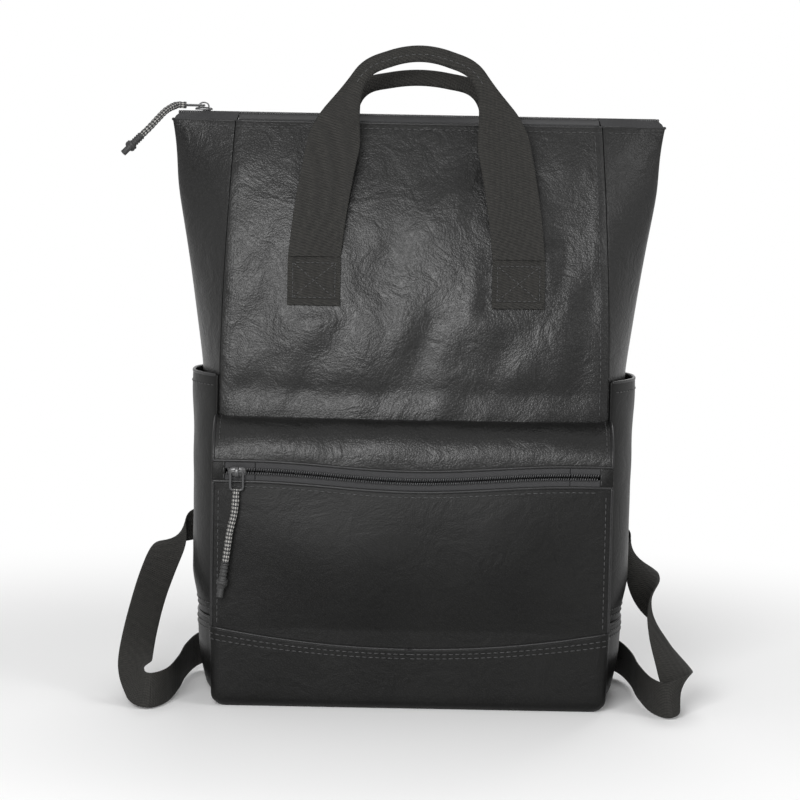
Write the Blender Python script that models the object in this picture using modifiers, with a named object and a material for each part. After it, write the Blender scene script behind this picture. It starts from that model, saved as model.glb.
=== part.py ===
"""A soft leather tote backpack, built from separate sewn panels, zips, handles and straps.

Metres, +Z up. The bag stands on its base at z = 0, its front faces -Y and the wearer's side is +Y.
"""

import math

import bmesh
import bpy
from mathutils import Matrix, Vector

# Material thicknesses and clearances
LEATHER = 0.0016
BOOT_LEATHER = 0.0020
LINING_CLOTH = 0.0008
ZIP_TAPE = 0.0008
HANDLE_WEBBING = 0.0022
STRAP_WEBBING = 0.0014
CLEARANCE = 0.0004

# Main body
TOP_Z = 0.419
SHOULDER_Z = 0.240
FRONT_Y = -0.034
BACK_Y = 0.064
ZIP_Y = 0.012
MOUTH_WIDTH = 0.024
SEAM_HALF_WIDTH = 0.1405
SEAM_TOP_HALF_WIDTH = 0.1335
SIDE_HALF_WIDTH = 0.1515
WING_HALF_WIDTH = 0.1800
FRONT_BULGE = 0.008
WING_SHARPNESS = 0.7
FOOT_HEIGHT = 0.080
FOOT_DRAW = 0.014

# Base boot: a tray of leather round the bottom of the bag
BOOT_FRONT_HALF_WIDTH = 0.1435
BOOT_BACK_HALF_WIDTH = 0.1455
BOOT_FRONT_Y = -0.0665
BOOT_BACK_Y = 0.067
BOOT_CORNER = 0.005
BOOT_EDGE = 0.006
BOOT_SIDE_Z = 0.058
BOOT_FRONT_DIP = 0.014
BOOT_EASE = 0.0009
BOARD_THICKNESS = 0.003
PANEL_LOW_Z = 0.010

# Side pockets
SIDE_POCKET_Z = 0.236
SIDE_POCKET_GAPE = 0.0045
SIDE_POCKET_FLARE = 0.0012
SIDE_POCKET_RAMP = 0.032

# Front pocket
POCKET_Y = -0.066
POCKET_HALF_WIDTH = 0.1433
POCKET_BULGE = 0.005
LOWER_WELT_Z = 0.1635
UPPER_WELT_Z = 0.178
HOOD_RISE = 0.029

# Zips
TOOTH_ROW_WIDTH = 0.0020
TOOTH_ROW_HEIGHT = 0.0024
TOOTH_SLIT = 0.0012
TAPE_LIFT = 0.0009
MAIN_ZIP_RISE = 0.005
MAIN_ZIP_HALF_LENGTH = 0.176
MAIN_ZIP_END = 0.045
MAIN_LIP_HALF_LENGTH = MAIN_ZIP_HALF_LENGTH - MAIN_ZIP_END
MAIN_SLIDER_X = 0.019 - MAIN_ZIP_HALF_LENGTH
POCKET_ZIP_HALF_LENGTH = POCKET_HALF_WIDTH - 0.0097
POCKET_ZIP_END = 0.0216
POCKET_LIP_HALF_LENGTH = POCKET_ZIP_HALF_LENGTH - POCKET_ZIP_END
POCKET_SLIDER_X = 0.0086 - POCKET_ZIP_HALF_LENGTH
SLIDER_LENGTH = 0.013
SLIDER_WIDTH = 0.0084
SLIDER_HEIGHT = 0.0066
SLIDER_CHANNEL = 0.0034
SLIDER_NECK = 0.0006
BRIDGE_LENGTH = 0.0080
BRIDGE_WIDTH = 0.0030
BRIDGE_HEIGHT = 0.0044
BRIDGE_WALL = 0.0012
BAIL_WIRE = 0.0009
BAIL_HALF_WIDTH = 0.0045
BAIL_LENGTH = 0.013
BAIL_CORNER = 0.0018
CORD_RADIUS = 0.0026
KNOT_RADIUS = 0.0040
SLEEVE_RADIUS = 0.0030

# Handles
HANDLE_WIDTH = 0.038
GRIP_WIDTH = 0.012
PATCH_LOW_Z = 0.288
HANDLE_HINGE_Z = 0.322
HANDLE_PATCH_X = 0.0735
HANDLE_TOP_X = 0.0585
FRONT_APEX_Z = 0.469
REAR_APEX_Z = 0.452

# Shoulder straps
STRAP_WIDTH_TOP = 0.034
STRAP_WIDTH_LOW = 0.054
STRAP_PAD = 0.008
STRAP_TOP_Z = 0.388
YOKE_HALF_WIDTH = 0.043
YOKE_HEIGHT = 0.022
WEBBING_WIDTH = 0.025
LOCK_WIDTH = 0.034
LOCK_THICKNESS = 0.0032
LOCK_BAR = 0.004
LOCK_UPPER_SLOT = 0.0055
LOCK_LOWER_SLOT = 0.0065
TIP_LOOP_LENGTH = 0.0147
TAIL_LENGTH = 0.046
TAB_X = 0.120
TAB_HALF_WIDTH = 0.020
TAB_LOW_Z = 0.010
TAB_HIGH_Z = 0.050

# Inside
SLEEVE_HALF_WIDTH = 0.110
SLEEVE_DEPTH = 0.012
SLEEVE_WALL = 0.003
SLEEVE_TOP_Z = 0.216
FOAM_THICKNESS = 0.006
FOAM_HALF_WIDTH = 0.125
FOAM_TOP_Z = 0.236
LINING_TOP_Z = 0.330

SIDES = {"left": -1, "right": 1}
CORNER = LEATHER + CLEARANCE


# Finishes

def finish(name, colour, roughness, metallic=0.0):
    """A Principled material of one colour."""
    material = bpy.data.materials.new(name)
    material.use_nodes = True
    shader = material.node_tree.nodes["Principled BSDF"]
    shader.inputs["Base Color"].default_value = (*colour, 1.0)
    shader.inputs["Roughness"].default_value = roughness
    shader.inputs["Metallic"].default_value = metallic
    return material


# Objects and modelling helpers

def add_object(name, data, material):
    """Link a mesh or curve to the backpack's collection with its material."""
    obj = bpy.data.objects.new(name, data)
    data.materials.append(material)
    PARTS.objects.link(obj)
    return obj


def joint_empty(name, place):
    """An empty on a joint's axis, for the pieces that move with it."""
    empty = bpy.data.objects.new(name, None)
    empty.location = place
    empty.empty_display_size = 0.02
    PARTS.objects.link(empty)
    return empty


def hang(obj, empty):
    """Parent a piece to a joint's empty and leave it where it is."""
    obj.parent = empty
    obj.matrix_parent_inverse = Matrix.Translation(empty.location).inverted()
    return obj


def sheet(name, surface, across, along, thickness, material, outwards=False):
    """A shell over surface(u, v), whose normal is du x dv, thickened inwards or outwards."""
    grid = bmesh.new()
    bmesh.ops.create_grid(grid, x_segments=across, y_segments=along, size=0.5)
    for vert in grid.verts:
        vert.co = surface(vert.co.x + 0.5, vert.co.y + 0.5)
    mesh = bpy.data.meshes.new(name)
    grid.to_mesh(mesh)
    grid.free()
    mesh.shade_smooth()
    obj = add_object(name, mesh, material)
    wall = obj.modifiers.new("Wall", "SOLIDIFY")
    wall.thickness = thickness
    wall.offset = 1.0 if outwards else -1.0
    wall.use_even_offset = True
    return obj


def mirrored(surface):
    """The same surface on the left side, with its normal still pointing out."""
    def left(u, v):
        point = surface(1.0 - u, v)
        return Vector((-point.x, point.y, point.z))
    return left


def on_side(surface, side):
    """The surface itself on the right, its mirror image on the left."""
    return surface if side > 0 else mirrored(surface)


def cup(name, rings, thickness, material):
    """An open tray lofted through closed rings of equal length, from its floor to its rim."""
    loft = bmesh.new()
    rows = [[loft.verts.new(point) for point in ring] for ring in rings]
    count = len(rows[0])
    for low, high in zip(rows, rows[1:]):
        for i in range(count):
            j = (i + 1) % count
            loft.faces.new((low[i], low[j], high[j], high[i]))
    loft.faces.new(list(reversed(rows[0])))
    mesh = bpy.data.meshes.new(name)
    loft.to_mesh(mesh)
    loft.free()
    obj = add_object(name, mesh, material)
    wall = obj.modifiers.new("Wall", "SOLIDIFY")
    wall.thickness = thickness
    wall.offset = -1.0
    wall.use_even_offset = True
    return obj


def block_mesh(name, low, high):
    """A box between two corners, as a mesh."""
    low, high = Vector(low), Vector(high)
    cube = bmesh.new()
    bmesh.ops.create_cube(cube, size=1.0)
    for vert in cube.verts:
        vert.co = Vector(a + (b - a) * (c + 0.5) for a, b, c in zip(low, high, vert.co))
    mesh = bpy.data.meshes.new(name)
    cube.to_mesh(mesh)
    cube.free()
    return mesh


def block(name, low, high, material, bevel=0.0):
    """A box between two corners, with rounded edges where a bevel is given."""
    obj = add_object(name, block_mesh(name, low, high), material)
    if bevel:
        edge = obj.modifiers.new("Edge", "BEVEL")
        edge.width = bevel
        edge.segments = 2
    return obj


def combine(obj, low, high, operation):
    """Cut a box out of an object, or join one to it."""
    tool = bpy.data.objects.new(f"{obj.name}_tool", block_mesh(f"{obj.name}_tool", low, high))
    combine_object(obj, tool, operation)
    return tool


def combine_object(obj, tool, operation):
    """Cut or join another object, which is kept as a hidden guide."""
    for collection in tool.users_collection:
        collection.objects.unlink(tool)
    CUTTERS.objects.link(tool)
    tool.hide_render = True
    tool.display_type = "WIRE"
    step = obj.modifiers.new(operation.title(), "BOOLEAN")
    step.operation = operation
    step.object = tool
    step.solver = "EXACT"


def place(matrix, *objects):
    """Move finished shapes from a zip's own frame into the bag's."""
    for obj in objects:
        obj.data.transform(matrix)


def tube(name, points, radius, material, radii=None, closed=False):
    """A round wire or cord along a line of points, with its ends capped unless it is closed."""
    curve = bpy.data.curves.new(name, "CURVE")
    curve.dimensions = "3D"
    curve.bevel_depth = radius
    curve.bevel_resolution = 2
    curve.use_fill_caps = not closed
    line = curve.splines.new("POLY")
    line.points.add(len(points) - 1)
    for i, point in enumerate(points):
        line.points[i].co = (*point, 1.0)
        line.points[i].radius = radii[i] / radius if radii else 1.0
    line.use_cyclic_u = closed
    return add_object(name, curve, material)


def spline(points, share):
    """The point at a share of the way along a smooth curve through the given points."""
    last = len(points) - 1
    place_on = min(max(share, 0.0), 1.0) * last
    i = min(int(place_on), last - 1)
    f = place_on - i
    p1, p2 = Vector(points[i]), Vector(points[i + 1])
    p0 = Vector(points[i - 1]) if i > 0 else 2 * p1 - p2
    p3 = Vector(points[i + 2]) if i + 2 <= last else 2 * p2 - p1
    bend = (2 * p0 - 5 * p1 + 4 * p2 - p3) * f * f
    return 0.5 * (2 * p1 + (p2 - p0) * f + bend + (3 * p1 - p0 - 3 * p2 + p3) * f**3)


def band(centre, across, width):
    """A strip's surface: centre(v) is its middle line, across(v) its cross direction."""
    def surface(u, v):
        return centre(v) + across(v).normalized() * width(v) * (u - 0.5)
    return surface


def smooth(value, low, high):
    """A smooth step from 0 at low to 1 at high."""
    share = min(max((value - low) / (high - low), 0.0), 1.0)
    return share * share * (3.0 - 2.0 * share)


# The bag's shape, by height

def rise(z):
    """Share of the way from the shoulder, where the bag starts to flatten, to the top edge."""
    return min(max((z - SHOULDER_Z) / (TOP_Z - SHOULDER_Z), 0.0), 1.0)


def foot_draw(z):
    """How far the sides draw in towards the base."""
    foot = max(0.0, 1.0 - z / FOOT_HEIGHT)
    return FOOT_DRAW * foot * foot


def seam_x(z):
    """Half the width between the front panel's two side seams."""
    taper = (SEAM_TOP_HALF_WIDTH - SEAM_HALF_WIDTH) * rise(z) ** 1.5
    return SEAM_HALF_WIDTH + taper - foot_draw(z) * 0.6


def front_seam_y(z):
    """How far forward the front panel's side seams are."""
    return FRONT_Y + (ZIP_Y - MOUTH_WIDTH / 2 - FRONT_Y) * rise(z) ** 2


def back_y(z):
    """Outer face of the back panel, upright below the shoulder and leaning in above it."""
    return BACK_Y + (ZIP_Y + MOUTH_WIDTH / 2 - BACK_Y) * rise(z) ** 2


def tip_x(z):
    """Half the bag's width at the middle of the gusset, widest at the wing tips."""
    wing = (WING_HALF_WIDTH - SIDE_HALF_WIDTH) * rise(z) ** 1.3
    return SIDE_HALF_WIDTH + wing - foot_draw(z)


def front_face_y(x, z):
    """Outer face of the front panel, crowned between its seams."""
    share = min(abs(x) / seam_x(z), 1.0)
    return front_seam_y(z) - FRONT_BULGE * math.sin(math.pi * z / TOP_Z) * (1.0 - share * share)


def gusset_point(t, z, proud=0.0):
    """Right gusset at share t from the front seam to the back seam: a bow that sharpens upwards."""
    front = front_seam_y(z) + CORNER
    back = back_y(z) - CORNER
    bow = 1.0 - abs(2.0 * t - 1.0) ** (2.0 - WING_SHARPNESS * rise(z))
    x = seam_x(z) + (tip_x(z) - seam_x(z)) * bow + proud
    return Vector((x, front + (back - front) * t, z))


def boot_rim_z(x):
    """Top edge of the boot's front, which dips in the middle."""
    share = min(abs(x) / BOOT_FRONT_HALF_WIDTH, 1.0)
    return BOOT_SIDE_Z - BOOT_FRONT_DIP * (1.0 - share * share)


def pocket_face_y(x, z):
    """Outer face of the pocket's front, flat along the zip and crowned below it."""
    share = min(abs(x) / POCKET_HALF_WIDTH, 1.0)
    height = min(max((z - BOOT_SIDE_Z) / (LOWER_WELT_Z - BOOT_SIDE_Z), 0.0), 1.0)
    return POCKET_Y - POCKET_BULGE * math.sin(math.pi * height) * (1.0 - share * share)


# Main panels

def main_panels(leather):
    """Front, back and the two gussets, which stand in the boot just above its rounded edge."""
    low = PANEL_LOW_Z

    def front(u, v):
        z = low + (TOP_Z - low) * v
        x = (2.0 * u - 1.0) * (seam_x(z) - CLEARANCE)
        return Vector((x, front_face_y(x, z), z))

    def back(u, v):
        z = low + (TOP_Z - low) * v
        return Vector(((1.0 - 2.0 * u) * (seam_x(z) - CLEARANCE), back_y(z), z))

    def gusset(u, v):
        return gusset_point(u, low + (TOP_Z - low) * v)

    sheet("front_panel", front, 12, 14, LEATHER, leather)
    sheet("back_panel", back, 10, 14, LEATHER, leather)
    for word, side in SIDES.items():
        sheet(f"{word}_gusset", on_side(gusset, side), 10, 14, LEATHER, leather)


def boot_ring(z_share, inset):
    """One closed ring of the boot, at a share of its rim height, anticlockwise from above."""
    z_side = BOOT_SIDE_Z * z_share
    front = BOOT_FRONT_Y + inset
    back = BOOT_BACK_Y - inset
    front_x = BOOT_FRONT_HALF_WIDTH - FOOT_DRAW / 3 * (1.0 - z_share) - inset
    back_x = BOOT_BACK_HALF_WIDTH - FOOT_DRAW / 3 * (1.0 - z_share) - inset
    middle_x = tip_x(z_side) + BOOT_LEATHER + BOOT_EASE - inset
    belly = middle_x - (front_x + back_x) / 2
    turn = BOOT_CORNER
    half = [Vector((front_x * share, front)) for share in (0.0, 0.2, 0.4, 0.6, 0.8)]
    for angle in (-90, -60, -30, 0):
        a = math.radians(angle)
        half.append(Vector((front_x - turn + turn * math.cos(a), front + turn + turn * math.sin(a))))
    for share in (0.12, 0.25, 0.38, 0.5, 0.62, 0.75, 0.88):
        y = front + turn + (back - front - 2 * turn) * share
        x = front_x + (back_x - front_x) * share + belly * 4.0 * share * (1.0 - share)
        half.append(Vector((x, y)))
    for angle in (0, 30, 60, 90):
        a = math.radians(angle)
        half.append(Vector((back_x - turn + turn * math.cos(a), back - turn + turn * math.sin(a))))
    half += [Vector((back_x * share, back)) for share in (0.7, 0.35, 0.0)]
    other = [Vector((-p.x, p.y)) for p in reversed(half[1:-1])]
    ring = []
    for p in half + other:
        rim = boot_rim_z(p.x) if p.y < front + turn else BOOT_SIDE_Z
        ring.append(Vector((p.x, p.y, rim * z_share)))
    return ring


def base(leather, board):
    """The leather boot and the stiff board that lies in it."""
    steps = ((0.0, BOOT_EDGE), (0.05, BOOT_EDGE / 3), (0.15, 0.0), (0.4, 0.0), (0.7, 0.0), (1.0, 0.0))
    cup("base_boot", [boot_ring(share, inset) for share, inset in steps], BOOT_LEATHER, leather)
    floor = BOOT_LEATHER + CLEARANCE
    half = seam_x(0.0) - FOOT_DRAW
    low = (-half, FRONT_Y, floor)
    high = (half, BOOT_BACK_Y - 2 * BOOT_EDGE, floor + BOARD_THICKNESS)
    block("base_board", low, high, board)


def side_pockets(leather):
    """A slip pocket on each gusset, standing a little off it and flared at its rim."""
    low = BOOT_SIDE_Z + 2 * CLEARANCE

    def pocket(u, v):
        z = low + (SIDE_POCKET_Z - low) * v
        gape = SIDE_POCKET_GAPE * smooth(z, low, low + SIDE_POCKET_RAMP) + SIDE_POCKET_FLARE * v**3
        return gusset_point(u, z, CLEARANCE * 1.5 + gape * math.sin(math.pi * u) ** 0.6)

    for word, side in SIDES.items():
        sheet(f"{word}_side_pocket", on_side(pocket, side), 10, 8, LEATHER, leather, outwards=True)


def inside(cloth, foam):
    """Lining bag, laptop sleeve and back foam."""
    floor = BOOT_LEATHER + BOARD_THICKNESS + 2 * CLEARANCE
    back_gap = LEATHER + FOAM_THICKNESS + 3 * CLEARANCE
    side_gap = LEATHER + CLEARANCE
    tip_gap = 0.010
    shares = [i / 8 for i in range(9)]

    def ring(z):
        front = front_face_y(0.0, z) + CORNER if z > SHOULDER_Z else FRONT_Y + CORNER
        front = max(front, front_seam_y(z) + CORNER)
        back = back_y(z) - back_gap
        half = seam_x(z) - side_gap - CORNER - foot_draw(z)
        reach = max(tip_x(z) - tip_gap - half, 0.0)
        power = 2.0 - WING_SHARPNESS * rise(z)
        points = [Vector((half * (2 * s - 1), front, z)) for s in shares[:-1]]
        for s in shares[:-1]:
            bow = 1.0 - abs(2 * s - 1) ** power
            points.append(Vector((half + reach * bow, front + (back - front) * s, z)))
        points += [Vector((half * (1 - 2 * s), back, z)) for s in shares[:-1]]
        for s in shares[:-1]:
            bow = 1.0 - abs(2 * s - 1) ** power
            points.append(Vector((-half - reach * bow, back + (front - back) * s, z)))
        return points

    levels = (0.0, 0.15, 0.35, 0.55, 0.7, 0.85, 1.0)
    cup("lining", [ring(floor + (LINING_TOP_Z - floor) * s) for s in levels], LINING_CLOTH, cloth)

    back = BACK_Y - back_gap - LINING_CLOTH - CLEARANCE
    low_z = floor + LINING_CLOTH + CLEARANCE
    low = (-SLEEVE_HALF_WIDTH, back - SLEEVE_DEPTH, low_z)
    sleeve = block("laptop_sleeve", low, (SLEEVE_HALF_WIDTH, back, SLEEVE_TOP_Z), cloth)
    hollow = SLEEVE_HALF_WIDTH - SLEEVE_WALL
    inner = (-hollow, low[1] + SLEEVE_WALL, low_z + SLEEVE_WALL)
    combine(sleeve, inner, (hollow, back + SLEEVE_DEPTH, SLEEVE_TOP_Z + SLEEVE_DEPTH), "DIFFERENCE")

    near = BACK_Y - LEATHER - CLEARANCE - FOAM_THICKNESS
    low = (-FOAM_HALF_WIDTH, near, floor)
    block("back_foam", low, (FOAM_HALF_WIDTH, near + FOAM_THICKNESS, FOAM_TOP_Z), foam)


# Front pocket

def front_pocket(leather):
    """Hood, front, two narrow sides and the leather tabs at the zip's ends."""
    crease_z = UPPER_WELT_Z + HOOD_RISE

    def face(u, v):
        x = (2.0 * u - 1.0) * POCKET_HALF_WIDTH
        low = boot_rim_z(x) + CLEARANCE
        z = low + (LOWER_WELT_Z - low) * v
        return Vector((x, pocket_face_y(x, z), z))

    def hood(u, v):
        x = (2.0 * u - 1.0) * POCKET_HALF_WIDTH
        angle = v * math.pi / 2
        depth = front_face_y(x, crease_z) - CLEARANCE - POCKET_Y
        y = POCKET_Y + depth * (1.0 - math.cos(angle))
        return Vector((x, y, UPPER_WELT_Z + HOOD_RISE * math.sin(angle)))

    near = POCKET_Y + LEATHER + 2 * CLEARANCE
    far = FRONT_Y - CLEARANCE

    def wall(u, v):
        y = near + (far - near) * u
        angle = math.acos(1.0 - u)
        low = BOOT_SIDE_Z + CLEARANCE
        high = UPPER_WELT_Z + (HOOD_RISE - LEATHER - 2 * CLEARANCE) * math.sin(angle)
        return Vector((POCKET_HALF_WIDTH, y, low + (high - low) * v))

    sheet("pocket_front", face, 12, 7, LEATHER, leather)
    sheet("pocket_hood", hood, 12, 6, LEATHER, leather)
    for word, side in SIDES.items():
        sheet(f"pocket_{word}_side", on_side(wall, side), 6, 5, LEATHER, leather)
        ends = sorted((side * (POCKET_ZIP_HALF_LENGTH + CLEARANCE), side * POCKET_HALF_WIDTH))
        low = (ends[0], POCKET_Y, LOWER_WELT_Z + CLEARANCE)
        high = (ends[1], POCKET_Y + LEATHER, UPPER_WELT_Z - CLEARANCE)
        block(f"pocket_zip_{word}_tab", low, high, leather)


# Zips, in a frame with x along the zip, y across it and z out of it

class Zip:
    """One zip: its frame in the bag, its sizes and the height of its teeth over the mouth's edges."""

    def __init__(self, matrix, half_mouth, teeth_z, lip, end):
        self.matrix = matrix
        self.half_mouth = half_mouth
        self.teeth_z = teeth_z
        self.lip = lip
        self.end = end

    def edge(self, side):
        """Where a lip is sewn, across and out of the zip: its fold line."""
        return Vector((0.0, side * (self.half_mouth - CLEARANCE * 1.5), TAPE_LIFT))

    def root(self, side):
        """Where a lip's tape ends beside its teeth."""
        return Vector((0.0, side * (TOOTH_SLIT / 2 + TOOTH_ROW_WIDTH + 0.0003), self.teeth_z))


def zip_frames():
    """The main zip along the top edge and the pocket's zip, which faces forward."""
    main = Matrix.Translation((0.0, ZIP_Y, TOP_Z))
    middle = (0.0, POCKET_Y + LEATHER / 2, (LOWER_WELT_Z + UPPER_WELT_Z) / 2)
    pocket = Matrix.Translation(middle) @ Matrix.Rotation(math.pi / 2, 4, "X")
    half = (UPPER_WELT_Z - LOWER_WELT_Z) / 2
    return (
        Zip(main, MOUTH_WIDTH / 2, MAIN_ZIP_RISE, MAIN_LIP_HALF_LENGTH, MAIN_ZIP_HALF_LENGTH),
        Zip(pocket, half, TAPE_LIFT, POCKET_LIP_HALF_LENGTH, POCKET_ZIP_HALF_LENGTH),
    )


def zip_lip(zipper, name, side, cloth, teeth):
    """Half a zip between its ends: a strip of tape and a row of teeth, which fold out together."""
    edge, root = zipper.edge(side), zipper.root(side)
    first, second = (edge, root) if side < 0 else (root, edge)

    def strip(u, v):
        return Vector(((2.0 * u - 1.0) * zipper.lip, 0.0, 0.0)) + first.lerp(second, v)

    tape = sheet(f"{name}_zip_tape", strip, 6, 2, ZIP_TAPE, cloth)
    tape.modifiers["Wall"].offset = 0.0
    near = side * TOOTH_SLIT / 2
    across = sorted((near, near + side * TOOTH_ROW_WIDTH))
    low = (-zipper.lip, across[0], zipper.teeth_z - TOOTH_ROW_HEIGHT / 2)
    high = (zipper.lip, across[1], zipper.teeth_z + TOOTH_ROW_HEIGHT / 2)
    row = block(f"{name}_zip_teeth", low, high, teeth)
    place(zipper.matrix, tape, row)
    hinge = joint_empty(f"{name}_lip_hinge", zipper.matrix @ edge)
    hang(tape, hinge)
    hang(row, hinge)


def zip_end(zipper, name, side, tapered, material):
    """The sewn-down end of a zip, where the slider parks: two rows of teeth joined by a stop."""
    near = zipper.lip + CLEARANCE
    half = TOOTH_SLIT / 2 + TOOTH_ROW_WIDTH
    stop = zipper.end - SLIDER_WIDTH if tapered else zipper.end - TOOTH_SLIT
    low_z = zipper.teeth_z - TOOTH_ROW_HEIGHT / 2
    high_z = zipper.teeth_z + TOOTH_ROW_HEIGHT / 2

    def span(a, b):
        return sorted((side * a, side * b))

    inner, outer = span(near, zipper.end)
    end = block(name, (inner, -half, low_z), (outer, half, high_z), material)
    tools = []
    inner, outer = span(near - TOOTH_SLIT, stop)
    slit = TOOTH_SLIT / 2
    tools.append(combine(end, (inner, -slit, low_z - slit), (outer, slit, high_z + slit), "DIFFERENCE"))
    if tapered:
        inner, outer = span(stop, zipper.end)
        tools.append(combine(end, (inner, -half, CLEARANCE), (outer, half, high_z), "UNION"))
    for flank in (-1, 1):
        edge = zipper.edge(flank)
        root = Vector((0.0, flank * (half - slit), zipper.teeth_z))

        def web(u, v, edge=edge, root=root, flank=flank):
            x = near + (zipper.end - near) * u
            reach = (1.0 - 0.95 * u) if tapered else 1.0
            rim = root.lerp(edge, reach)
            across = root.lerp(rim, v) if side * flank > 0 else rim.lerp(root, v)
            return Vector((side * x, across.y, across.z))

        flap = sheet(f"{name}_flap", web, 4, 1, ZIP_TAPE, material)
        flap.modifiers["Wall"].offset = 0.0
        combine_object(end, flap, "UNION")
        tools.append(flap)
    place(zipper.matrix, end, *tools)
    return end


def slider(zipper, name, x, along, material):
    """A zip slider: two plates on a neck, with a bridge for the bail that runs along or across."""
    z = zipper.teeth_z
    half = Vector((SLIDER_LENGTH, SLIDER_WIDTH, SLIDER_HEIGHT)) / 2
    centre = Vector((x, 0.0, z))
    body = block(name, centre - half, centre + half, material)
    tools = []
    gap = SLIDER_CHANNEL / 2
    for flank in (-1, 1):
        across = sorted((flank * SLIDER_NECK / 2, flank * SLIDER_WIDTH))
        low = (x - SLIDER_LENGTH, across[0], z - gap)
        high = (x + SLIDER_LENGTH, across[1], z + gap)
        tools.append(combine(body, low, high, "DIFFERENCE"))
    foot = z + SLIDER_HEIGHT / 2
    long, wide = (BRIDGE_LENGTH, BRIDGE_WIDTH) if along else (BRIDGE_WIDTH, BRIDGE_LENGTH)
    low = (x - long / 2, -wide / 2, foot - BRIDGE_WALL / 2)
    tools.append(combine(body, low, (x + long / 2, wide / 2, foot + BRIDGE_HEIGHT), "UNION"))
    if along:
        long, wide = BRIDGE_LENGTH - 2 * BRIDGE_WALL, SLIDER_WIDTH
    else:
        long, wide = SLIDER_LENGTH, BRIDGE_LENGTH - 2 * BRIDGE_WALL
    top = foot + BRIDGE_HEIGHT - BRIDGE_WALL
    tools.append(combine(body, (x - long / 2, -wide / 2, foot), (x + long / 2, wide / 2, top), "DIFFERENCE"))
    place(zipper.matrix, body, *tools)
    hang(body, joint_empty(f"{name}_travel", zipper.matrix @ centre))
    return body


def bail_height(zipper):
    """Height of the bail's bar over the zip's mouth, in the middle of the bridge's hole."""
    return zipper.teeth_z + SLIDER_HEIGHT / 2 + (BRIDGE_HEIGHT - BRIDGE_WALL) / 2


def bail(zipper, name, x, along, material):
    """A wire loop through the slider's bridge, pointing to -x along the zip or to -y across it."""
    z = bail_height(zipper)
    straight = BAIL_LENGTH - BAIL_CORNER
    side = BAIL_HALF_WIDTH - BAIL_CORNER
    loop = []
    near = BAIL_WIRE
    for reach, across, start in ((straight, side, 0), (near, side, 90), (near, -side, 180), (straight, -side, 270)):
        for turn in (0, 45, 90):
            a = math.radians(start + turn)
            bend = 1.0 if reach == straight else near / BAIL_CORNER
            loop.append((reach + BAIL_CORNER * math.cos(a) * bend, across + BAIL_CORNER * math.sin(a)))
    if along:
        spots = [(x - reach, across, z) for reach, across in loop]
    else:
        spots = [(x + across, -reach, z) for reach, across in loop]
    wire = tube(name, spots, BAIL_WIRE, material, closed=True)
    place(zipper.matrix, wire)
    return wire


def puller(zipper, name, x, along, route, tail, metal, braid, rubber):
    """Bail, braided cord and knotted end, which swing together on the slider's bridge."""
    hinge = joint_empty(f"{name}_pull_hinge", zipper.matrix @ Vector((x, 0.0, bail_height(zipper))))
    hang(bail(zipper, f"{name}_pull_bail", x, along, metal), hinge)
    spots = [(x + along_x, y, z) for along_x, y, z in route]
    cord_points = [spline(spots, i / 12) for i in range(13)]
    hang(tube(f"{name}_pull_cord", cord_points, CORD_RADIUS, braid), hinge)
    direction = (cord_points[-1] - cord_points[-2]).normalized()
    start = cord_points[-1] + direction * CLEARANCE
    end = start + direction * tail
    outline = ((0.0, SLEEVE_RADIUS), (0.42, SLEEVE_RADIUS), (0.52, KNOT_RADIUS), (0.64, KNOT_RADIUS),
               (0.74, SLEEVE_RADIUS), (1.0, SLEEVE_RADIUS))
    spots = [start.lerp(end, share) for share, _ in outline]
    radii = [radius for _, radius in outline]
    hang(tube(f"{name}_pull_knot", spots, SLEEVE_RADIUS, rubber, radii=radii), hinge)


# Cord routes, chosen by hand: each hangs from its bail, with x counted from its slider
MAIN_CORD = (
    (-0.0152, 0.0120, 0.4289),
    (-0.0200, 0.0105, 0.4287),
    (-0.0265, 0.0015, 0.4250),
    (-0.0320, -0.0060, 0.4190),
    (-0.0375, -0.0115, 0.4125),
    (-0.0430, -0.0142, 0.4068),
)
MAIN_CORD_TAIL = 0.019
POCKET_CORD = (
    (-0.0002, -0.0711, 0.1563),
    (-0.0012, -0.0722, 0.1420),
    (-0.0042, -0.0738, 0.1280),
    (-0.0058, -0.0746, 0.1160),
    (-0.0072, -0.0749, 0.1060),
)
POCKET_CORD_TAIL = 0.025


def zips(cloth, teeth, metal, braid, rubber):
    """Both zips with their sliders and pullers."""
    main, pocket = zip_frames()
    zip_lip(main, "front", -1, cloth, teeth)
    zip_lip(main, "rear", 1, cloth, teeth)
    zip_lip(pocket, "pocket_lower", -1, cloth, teeth)
    zip_lip(pocket, "pocket_upper", 1, cloth, teeth)
    for word, side in SIDES.items():
        zip_end(main, f"main_zip_{word}_end", side, True, cloth)
        zip_end(pocket, f"pocket_zip_{word}_end", side, False, cloth)
    slider(main, "main_zip_slider", MAIN_SLIDER_X, True, metal)
    slider(pocket, "pocket_zip_slider", POCKET_SLIDER_X, False, metal)
    puller(main, "main", MAIN_SLIDER_X, True, MAIN_CORD, MAIN_CORD_TAIL, metal, braid, rubber)
    puller(pocket, "pocket", POCKET_SLIDER_X, False, POCKET_CORD, POCKET_CORD_TAIL, metal, braid, rubber)


# Handles

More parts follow.
